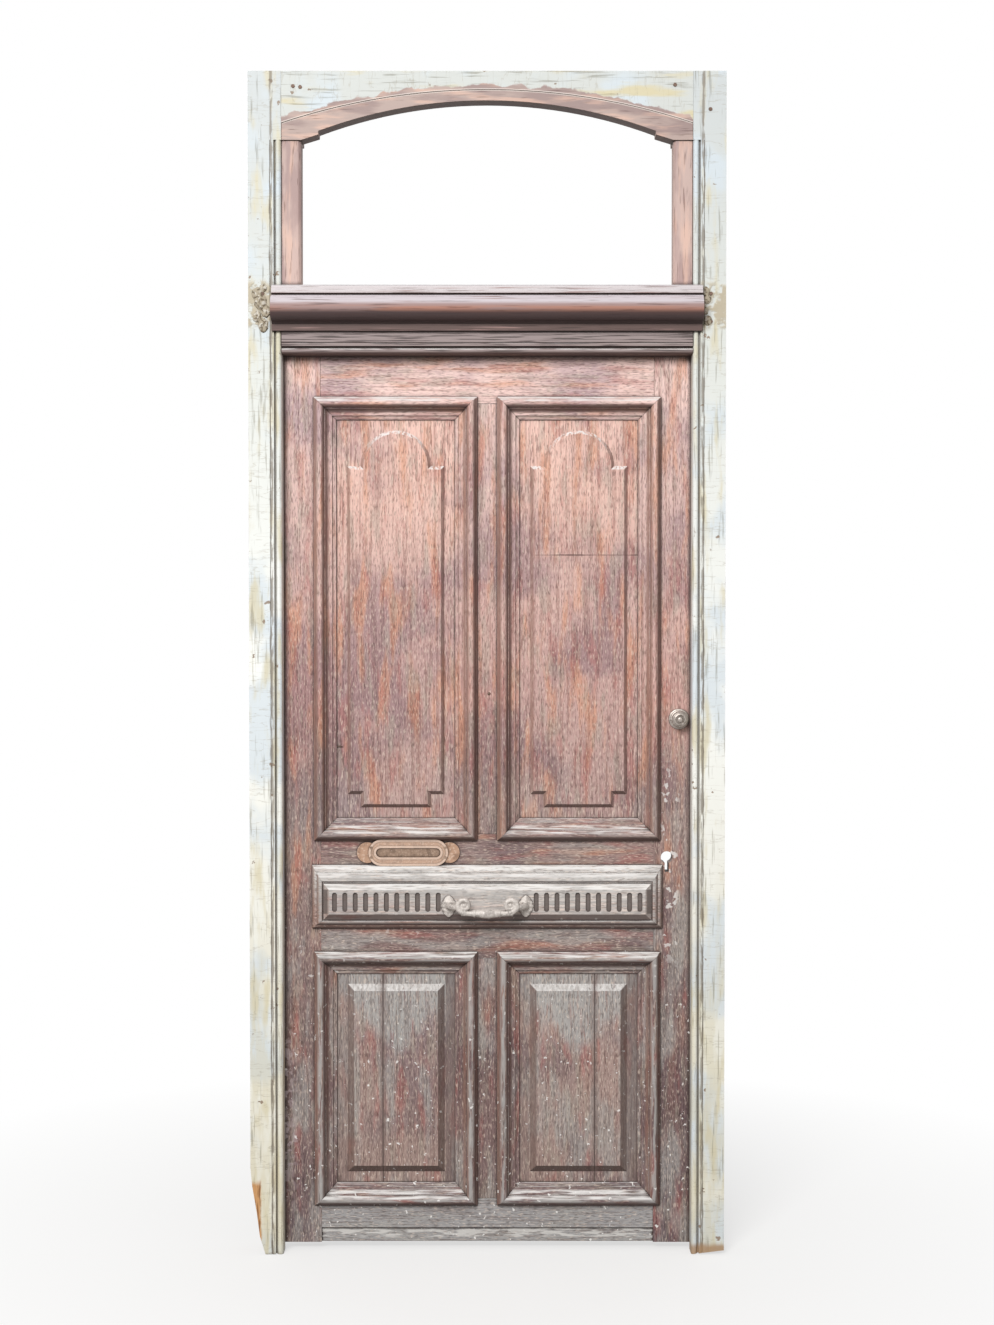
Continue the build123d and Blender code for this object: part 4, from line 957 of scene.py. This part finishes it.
@dataclass
class WoodJoinery:
    """Members of one body: each is the CAD solid with its arrises worn round.

    arris is how wide they are worn, and points closer than merge_distance become one, both
    in millimetres. Angles are in degrees: below flat_angle faces become one, above
    edge_angle an edge is worn, and above smooth_angle it is shaded sharp.
    """

    body: str
    members: dict[str, Finish]
    arris: float
    smooth_angle: float = 30.0
    merge_distance: float = 0.02
    flat_angle: float = 0.5
    edge_angle: float = 32.0

    def worn_copy(self, node: bpy.types.Object, name: str) -> bpy.types.Object:
        """Copy a CAD solid, merge its faces and round its edges.

        Args:
            node: The CAD node.
            name: Name of the new piece.

        Returns:
            The rounded copy, in the same place.
        """
        deselect_all()
        piece = node.copy()
        piece.data = node.data.copy()
        piece.parent = None
        for key in list(piece.keys()):
            del piece[key]
        bpy.context.scene.collection.objects.link(piece)
        make_active(piece)
        bpy.ops.object.mode_set(mode="EDIT")
        bpy.ops.mesh.select_all(action="SELECT")
        bpy.ops.mesh.remove_doubles(threshold=self.merge_distance * MM)
        bpy.ops.mesh.dissolve_limited(angle_limit=math.radians(self.flat_angle))
        bpy.ops.object.mode_set(mode="OBJECT")
        apply_modifier(
            piece,
            "BEVEL",
            width=self.arris * MM,
            segments=2,
            limit_method="ANGLE",
            angle_limit=math.radians(self.edge_angle),
        )
        settle(piece, name, self.smooth_angle)
        apply_modifier(piece, "WEIGHTED_NORMAL", keep_sharp=True)
        return piece

    def build(self, nodes: dict[str, bpy.types.Object]) -> None:
        """Build and dress every member, each in place of its CAD node.

        Args:
            nodes: The CAD nodes by name.
        """
        for name, finish in self.members.items():
            seat(self.worn_copy(nodes[name], f"worn_{name}"), self.body, finish, name)


@dataclass(frozen=True)
class Swelling:
    """Place where the grip swells: distance from its middle, spread, and how much it adds."""

    reach: float
    spread: float
    height: float

    def added(self, reach: float) -> float:
        """What it adds to the radius at a distance from the grip's middle."""
        return self.height * math.exp(-(((reach - self.reach) / self.spread) ** 2))


@dataclass
class PullHandle:
    """Cast handle: pointed leaf feet, scrolled arms and a grip knurled at its middle.

    Sizes are in millimetres and angles in degrees. seat_point is the middle of the right
    foot, on the panel. The grip lies grip_out before the panel and grip_drop below the
    feet's middle; a scroll's centre lies scroll_in nearer to the door's middle than the
    foot, and scroll_rise above it. foot_taper, foot_fullness and foot_dome are the powers
    that shape the leaf's outline and its back; its scallops and ripples are waves up it.
    """

    seat_point: Point
    foot_half: Point = (17.0, 6.0, 26.0)
    foot_rings: int = 18
    foot_taper: float = 1.7
    foot_fullness: float = 0.8
    foot_dome: float = 0.6
    scallop_turn: float = 18.0
    scallop_depth: float = 0.07
    ripple_turn: float = 16.0
    ripple_height: float = 0.8
    rib_height: float = 1.4
    arm_start: float = 1.0
    arm_in: float = 27.0
    arm_rise: float = 3.0
    arm_radius: float = 8.2
    arm_waist: float = 1.6
    waist_place: float = 0.8
    grip_out: float = 38.0
    grip_drop: float = 10.0
    grip_half: float = 58.0
    grip_radius: float = 7.6
    grip_sag: float = 1.5
    swellings: tuple[Swelling, ...] = (
        Swelling(0.0, 17.0, 2.9),
        Swelling(28.0, 1.8, 1.6),
        Swelling(42.0, 9.0, -0.9),
    )
    knurl_half: float = 24.0
    knurl_border: float = 0.6
    knurl_depth: float = 0.7
    scroll_in: float = 35.0
    scroll_rise: float = 7.0
    scroll_radius: float = 15.5
    scroll_start: float = -105.0
    scroll_sweep: float = 590.0
    scroll_closing: float = 0.72
    scroll_bulge: float = 3.0
    scroll_thinning: float = 4.2
    eye_profile: tuple[tuple[float, float], ...] = (
        (5.4, -4.0),
        (5.4, 4.5),
        (4.6, 6.4),
        (2.6, 7.6),
        (0.6, 8.0),
    )
    voxel: float = 0.9

    @classmethod
    def on_panel(cls) -> "PullHandle":
        """Handle as wide as its CAD node, seated where the node is."""
        low, high = frame_box("pull_handle")
        return cls((high.x - cls.foot_half[0], high.y, (low.z + high.z) / 2))

    def grip(self) -> bpy.types.Object:
        """Bar that thickens to a knurled middle between two collars.

        Returns:
            The bar.
        """
        _, panel, height = self.seat_point

        def path(share: float) -> Point:
            """Point on the bar, which sags at its middle.

            Args:
                share: Share of the way from its left end.

            Returns:
                The point.
            """
            place = 2 * share - 1
            sag = self.grip_sag * (1 - place * place)
            return (self.grip_half * place, panel - self.grip_out, height - self.grip_drop - sag)

        def radius(share: float) -> float:
            """Radius of the bar: thin inside the scrolls, thick at its middle, with a collar each side."""
            reach = self.grip_half * abs(2 * share - 1)
            return self.grip_radius + sum(swelling.added(reach) for swelling in self.swellings)

        bar = rod(path, radius, 72)
        make_active(bar)
        for face in bar.data.polygons:
            face.select = abs(face.center.x) < self.knurl_half * MM
        bpy.ops.object.mode_set(mode="EDIT")
        bpy.ops.mesh.select_mode(type="FACE")
        bpy.ops.mesh.inset(
            use_individual=True, thickness=self.knurl_border * MM, depth=self.knurl_depth * MM
        )
        bpy.ops.mesh.select_mode(type="VERT")
        bpy.ops.object.mode_set(mode="OBJECT")
        return bar

    def scroll(self) -> bpy.types.Object:
        """Volute that the grip's right end curls up into.

        Returns:
            The volute.
        """
        foot, panel, height = self.seat_point

        def path(share: float) -> Point:
            """Point on the spiral.

            Args:
                share: Share of the way from the grip in to the eye.

            Returns:
                The point.
            """
            angle = math.radians(self.scroll_start + self.scroll_sweep * share)
            reach = self.scroll_radius * (1 - self.scroll_closing * share)
            return (
                foot - self.scroll_in + reach * math.cos(angle),
                panel - self.grip_out - self.scroll_bulge * math.sin(math.pi * share),
                height + self.scroll_rise + reach * math.sin(angle),
            )

        return rod(path, lambda share: self.grip_radius - self.scroll_thinning * share, 72)

    def eye(self) -> bpy.types.Object:
        """Boss at the middle of the right scroll.

        Returns:
            The boss.
        """
        foot, panel, height = self.seat_point
        centre = (foot - self.scroll_in, panel - self.grip_out, height + self.scroll_rise)
        return turned(centre, self.eye_profile, 24)

    def arm(self) -> bpy.types.Object:
        """Curved arm from the right foot out to its scroll.

        Returns:
            The arm.
        """
        foot, panel, height = self.seat_point

        def path(share: float) -> Point:
            """Point on the arm, which takes a quarter turn.

            Args:
                share: Share of the way from the foot to the scroll.

            Returns:
                The point.
            """
            bend = math.radians(90 * share)
            return (
                foot - self.arm_in * (1 - math.cos(bend)),
                panel - self.arm_start - (self.grip_out - self.arm_start) * math.sin(bend),
                height + self.arm_rise * share,
            )

        def radius(share: float) -> float:
            """Radius of the arm, thinnest past its middle."""
            return self.arm_radius - self.arm_waist * math.sin(math.pi * share * self.waist_place)

        return rod(path, radius, 36)

    def foot(self) -> bpy.types.Object:
        """Pointed leaf with a rib and scalloped edges, flat on the panel.

        Returns:
            The right foot.
        """
        half_width, thickness, half_height = self.foot_half
        rings = []
        for number in range(1 - self.foot_rings, self.foot_rings):
            rise = number / self.foot_rings
            scallops = 1 + self.scallop_depth * math.cos(self.scallop_turn * rise)
            ripples = self.ripple_height * (1 - abs(rise)) * math.cos(self.ripple_turn * rise)
            width = half_width * (1 - abs(rise) ** self.foot_taper) ** self.foot_fullness * scallops
            depth = thickness * (1 - rise * rise) ** self.foot_dome + ripples
            rings.append(Ring(width, depth, half_height * rise))
        leaf = ringed(rings, 28)
        make_active(leaf)
        for vertex in leaf.data.vertices:
            vertex.select = abs(vertex.co.x) < 0.5 * MM and vertex.co.y < 0
        bpy.ops.object.mode_set(mode="EDIT")
        bpy.ops.transform.translate(value=(0, -self.rib_height * MM, 0))
        bpy.ops.object.mode_set(mode="OBJECT")
        leaf.location = Vector(self.seat_point) * MM
        return leaf

    def build(self) -> None:
        """Cast the handle as one piece, its feet cut flat on the panel."""
        end = join([self.scroll(), self.eye(), self.arm(), self.foot()])
        handle = join([self.grip(), end, mirrored(end)])
        apply_modifier(handle, "REMESH", mode="VOXEL", voxel_size=self.voxel * MM, use_smooth_shade=True)
        apply_modifier(handle, "SMOOTH", factor=0.5, iterations=2)
        make_active(handle)
        bpy.ops.object.mode_set(mode="EDIT")
        bpy.ops.mesh.select_all(action="SELECT")
        back = Vector((0, self.seat_point[1], 0)) * MM
        bpy.ops.mesh.bisect(plane_co=back, plane_no=(0, 1, 0), use_fill=True, clear_outer=True)
        bpy.ops.object.mode_set(mode="OBJECT")
        seat(settle(handle, "cast_pull_handle", 80.0), "leaf", CAST_IRON, "pull_handle")


@dataclass
class PullKnob:
    """Turned knob with a ringed face, and its rose.

    centre is where its axis meets the stile, in millimetres. A profile holds the radius
    of each point and how far it stands out of the stile.
    """

    centre: Point
    knob_profile: tuple[tuple[float, float], ...] = (
        (9.5, 4.0),
        (8.0, 7.0),
        (7.6, 14.0),
        (9.0, 18.0),
        (14.5, 20.0),
        (17.6, 22.0),
        (18.5, 25.0),
        (18.3, 28.5),
        (17.0, 30.5),
        (15.4, 31.2),
        (14.6, 30.6),
        (13.8, 30.8),
        (12.6, 32.0),
        (11.0, 32.4),
        (9.6, 31.6),
        (8.8, 30.4),
        (7.2, 30.4),
        (6.2, 32.2),
        (4.2, 33.6),
        (0.8, 34.0),
    )
    rose_profile: tuple[tuple[float, float], ...] = (
        (23.0, 0.0),
        (23.0, 1.4),
        (22.0, 2.2),
        (19.6, 2.4),
        (18.6, 3.4),
        (17.0, 4.0),
        (8.0, 4.0),
    )
    sides: int = 64

    @classmethod
    def on_stile(cls) -> "PullKnob":
        """Knob about the middle of its CAD rose."""
        low, high = frame_box("knob_rose")
        return cls(((low.x + high.x) / 2, high.y, (low.z + high.z) / 2))

    def build(self) -> None:
        """Turn the knob and the rose."""
        knob = turned(self.centre, self.knob_profile, self.sides)
        seat(settle(knob, "turned_pull_knob", 40.0), "leaf", BRASS, "pull_knob")
        rose = turned(self.centre, self.rose_profile, self.sides)
        seat(settle(rose, "turned_knob_rose", 40.0), "leaf", BRASS, "knob_rose")


@dataclass(frozen=True)
class Lump:
    """Lump of mortar: side of the frame, distance out of the nosing's end, rise above its middle, radius."""

    side: int
    out: float
    rise: float
    radius: float


@dataclass
class MortarLumps:
    """Lumps of mortar left on the jambs at the nosing's ends, in millimetres."""

    nosing_end: float
    nosing_middle: float
    lumps: tuple[Lump, ...] = (
        Lump(-1, 34.0, 32.0, 11.0),
        Lump(-1, 19.0, 44.0, 8.0),
        Lump(-1, 26.0, 14.0, 14.0),
        Lump(-1, 13.0, -8.0, 11.0),
        Lump(-1, 33.0, -20.0, 10.0),
        Lump(-1, 19.0, -38.0, 12.0),
        Lump(1, 8.0, 37.0, 8.0),
        Lump(1, 11.0, 20.0, 9.0),
        Lump(1, 7.0, -6.0, 7.0),
        Lump(1, 12.0, -28.0, 9.0),
    )
    flatness: float = 0.42
    tallness: float = 1.3
    roughness: float = 0.22

    @classmethod
    def beside_nosing(cls) -> "MortarLumps":
        """Lumps placed from the ends of the CAD nosing."""
        low, high = frame_box("transom_nosing")
        return cls(high.x, (low.z + high.z) / 2)

    def lump(self, number: int) -> bpy.types.Object:
        """One rough lump, half sunk in the face of the frame.

        Args:
            number: Its number, which is the seed of its roughness too.

        Returns:
            The lump.
        """
        size = self.lumps[number]
        place = Vector((size.side * (self.nosing_end + size.out), 0, self.nosing_middle + size.rise)) * MM
        deselect_all()
        bpy.ops.mesh.primitive_ico_sphere_add(subdivisions=3, radius=size.radius * MM, location=place)
        lump = bpy.context.object
        bpy.ops.object.mode_set(mode="EDIT")
        offset = size.radius * self.roughness * MM
        bpy.ops.transform.vertex_random(offset=offset, normal=0.6, seed=number)
        bpy.ops.mesh.vertices_smooth(factor=0.5, repeat=1)
        bpy.ops.object.mode_set(mode="OBJECT")
        lump.scale = (1.0, self.flatness, self.tallness)
        return lump

    def build(self) -> None:
        """Build both groups as one piece."""
        lumps = join([self.lump(number) for number in range(len(self.lumps))])
        seat(settle(lumps, "mortar_lumps", 50.0), "frame", MORTAR)


@dataclass
class SmallIron:
    """Nail in the upper mullion and staple in the hinge side's moulding, in millimetres."""

    nail: Point = (4.0, 42.0, 1264.0)
    nail_profile: tuple[tuple[float, float], ...] = ((3.6, -0.5), (3.4, 0.8), (2.0, 1.6), (0.4, 1.9))
    staple: Point = (-335.0, 49.0, 1143.0)
    staple_half: float = 6.0
    staple_out: float = 3.0
    staple_rise: float = 2.0
    wire_radius: float = 0.9

    def bridge(self, share: float) -> Point:
        """Point on the staple's bridge.

        Args:
            share: Share of the way along it.

        Returns:
            The point.
        """
        x, y, z = self.staple
        reach, rise = math.cos(math.pi * share), math.sin(math.pi * share)
        return (x + self.staple_half * reach, y - self.staple_out * rise, z + self.staple_rise * rise)

    def build(self) -> None:
        """Build the nail's head and the staple."""
        head = turned(self.nail, self.nail_profile, 16)
        seat(settle(head, "mullion_nail", 40.0), "leaf", RUSTED_IRON)
        staple = rod(self.bridge, lambda share: self.wire_radius, 16)
        seat(settle(staple, "moulding_staple", 40.0), "leaf", RUSTED_IRON)


@dataclass
class Fittings:
    """Metal fittings that keep their CAD form and get their metal."""

    finishes: dict[str, Finish]

    def build(self, nodes: dict[str, bpy.types.Object]) -> None:
        """Dress every named node.

        Args:
            nodes: The CAD nodes by name.
        """
        for name, finish in self.finishes.items():
            for slot in nodes[name].material_slots:
                slot.material = finish.material()
            LOG.info("%s in %s", name, finish.name)


@dataclass
class Studio:
    """Plain pale floor, soft light and the camera at the photograph's viewing angle.

    Sizes and places are in metres, but the photograph's height and the focal length are in
    pixels, and the sensor is in millimetres. near_white is how white the floor is at the door.
    """

    floor_size: float = 40.0
    shadow_reach: float = 0.4
    white_reach: float = 1.9
    near_white: float = 0.6
    sky: float = 0.47
    lamp_place: Point = (-1.9, -7.0, 5.2)
    lamp_target: Point = (0, 0, 1.2)
    lamp_size: float = 3.0
    lamp_power: float = 600.0
    camera_place: Point = (0.022, -4.5, 1.43)
    camera_pitch: float = 1.2
    photo_height: float = 1325.0
    focal_length: float = 2007.0
    sensor: float = 36.0

    def background_rays(self, tree: bpy.types.NodeTree) -> bpy.types.NodeSocket:
        """Rays that show the background: seen, mirrored or let through.

        Args:
            tree: Node tree under way.

        Returns:
            Socket that is 1 for them.
        """
        seen = add_node(tree, "LightPath", {}, "Is Camera Ray")
        for ray in ("Is Glossy Ray", "Is Transmission Ray"):
            other = add_node(tree, "LightPath", {}, ray)
            seen = add_node(tree, "Math", {0: seen, 1: other}, operation="MAXIMUM")
        return seen

    def floor(self) -> None:
        """Lay the floor: it takes soft shadows near the door and is white beyond."""
        bpy.ops.mesh.primitive_plane_add(size=self.floor_size, location=(0, 0, -MM))
        floor = bpy.context.object
        floor.name = "floor"
        material = bpy.data.materials.new("pale_floor")
        material.use_nodes = True
        tree = material.node_tree
        tree.nodes.clear()
        matt = add_node(tree, "BsdfDiffuse", {"Color": linear("#E9E7E4")})
        dull = add_node(tree, "BsdfDiffuse", {"Color": linear("#8F8B87")})
        white = add_node(tree, "Emission", {0: linear("#FFFFFF"), 1: 1.0})
        place = add_node(tree, "TexCoord", {}, "Object")
        reach = add_node(tree, "VectorMath", {0: place}, "Value", operation="LENGTH")
        inputs = {0: reach, 1: self.shadow_reach, 2: self.white_reach, 3: self.near_white, 4: 1.0}
        fade = add_node(tree, "MapRange", inputs)
        seen = add_node(tree, "MixShader", {0: fade, 1: matt, 2: white})
        mix = add_node(tree, "MixShader", {0: self.background_rays(tree), 1: dull, 2: seen})
        add_node(tree, "OutputMaterial", {"Surface": mix})
        floor.data.materials.append(material)

    def light(self) -> None:
        """Light the door from a white surround and one large lamp above and in front."""
        world = bpy.data.worlds.new("studio")
        world.use_nodes = True
        tree = world.node_tree
        tree.nodes.clear()
        strength = add_node(tree, "MapRange", {0: self.background_rays(tree), 3: self.sky, 4: 1.0})
        background = add_node(tree, "Background", {0: linear("#FFFFFF"), 1: strength})
        add_node(tree, "OutputWorld", {0: background})
        bpy.context.scene.world = world
        bpy.ops.object.light_add(type="AREA", location=self.lamp_place)
        lamp = bpy.context.object
        lamp.name = "key_light"
        lamp.data.shape = "SQUARE"
        lamp.data.size = self.lamp_size
        lamp.data.energy = self.lamp_power
        aim = Vector(self.lamp_target) - lamp.location
        lamp.rotation_euler = aim.to_track_quat("-Z", "Y").to_euler()

    def camera(self) -> None:
        """Place the camera where the photograph was taken from."""
        bpy.ops.object.camera_add(location=self.camera_place)
        camera = bpy.context.object
        camera.rotation_euler = (math.radians(90 - self.camera_pitch), 0, 0)
        camera.data.sensor_width = self.sensor
        camera.data.lens = self.focal_length / self.photo_height * self.sensor
        bpy.context.scene.camera = camera

    def build(self) -> None:
        """Set up the floor, the light and the camera."""
        self.floor()
        self.light()
        self.camera()
        bpy.context.scene.view_settings.view_transform = "Standard"


def frame_members() -> dict[str, Finish]:
    """Finish of each wooden member of the frame.

    Returns:
        The finishes by node.
    """
    return {
        "hinge_jamb": JAMB_PAINT,
        "lock_jamb": JAMB_PAINT,
        "head_rail": HEAD_FINISH,
        "transom_bar": TRANSOM_OAK,
        "fanlight_stile_left": STRIP_OAK,
        "fanlight_stile_right": STRIP_OAK,
        "transom_nosing": NOSING_OAK,
    }


def leaf_members() -> dict[str, Finish]:
    """Finish of each stile, rail, mullion and moulding of the leaf.

    Returns:
        The finishes by node.
    """
    members: dict[str, Finish] = {"bottom_rail": RAINED_OAK}
    for name in ("hinge_stile", "lock_stile", "upper_mullion", "lower_mullion"):
        members[name] = UPRIGHT_OAK
    for name in ("top_rail", "upper_middle_rail", "lower_middle_rail"):
        members[name] = LEVEL_OAK
    for opening in ("upper_left", "upper_right", "lower_left", "lower_right"):
        for side in ("left", "right"):
            members[f"{opening}_moulding_{side}"] = UPRIGHT_OAK
        for side in ("top", "bottom"):
            members[f"{opening}_moulding_{side}"] = LEVEL_OAK
    for side in ("left", "right", "top", "bottom"):
        members[f"cross_moulding_{side}"] = CROSS_MOULDING
    return members


def leaf_panels() -> dict[str, Finish]:
    """Finish of each panel of the leaf.

    Returns:
        The finishes by node.
    """
    return {
        "upper_left_panel": UPPER_PANEL,
        "upper_right_panel": UPPER_PANEL,
        "lower_left_panel": LOWER_PANEL,
        "lower_right_panel": LOWER_PANEL,
        "cross_panel": CROSS_PANEL,
    }


def metal_fittings() -> dict[str, Finish]:
    """Metal of each fitting that keeps its CAD form.

    Returns:
        The finishes by node.
    """
    iron = ["frame_nails", "handle_bolts", "hinge_frame_screws", "hinge_leaf_screws"]
    for place in ("bottom", "middle", "top"):
        iron += [f"hinge_pin_half_{place}", f"hinge_barrel_half_{place}"]
    finishes = {name: RUSTED_IRON for name in iron}
    for name in ("letter_flap", "letter_plate_screws", "flap_pin"):
        finishes[name] = FLAP_BRONZE
    return finishes


def main() -> None:
    """Build the door and its studio."""
    logging.basicConfig(level=logging.INFO, format="%(name)s: %(message)s")
    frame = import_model()
    nodes = frame["nodes"]
    WoodJoinery("frame", frame_members(), arris=1.8).build(nodes)
    WoodJoinery("leaf", leaf_members(), arris=1.1).build(nodes)
    WoodJoinery("leaf", leaf_panels(), arris=0.8, smooth_angle=4.0).build(nodes)
    WoodJoinery("leaf", {"letter_plate": PLATE_BRONZE}, arris=0.6).build(nodes)
    PullHandle.on_panel().build()
    PullKnob.on_stile().build()
    MortarLumps.beside_nosing().build()
    SmallIron().build()
    Fittings(metal_fittings()).build(nodes)
    Studio().build()


if __name__ == "__main__":
    main()
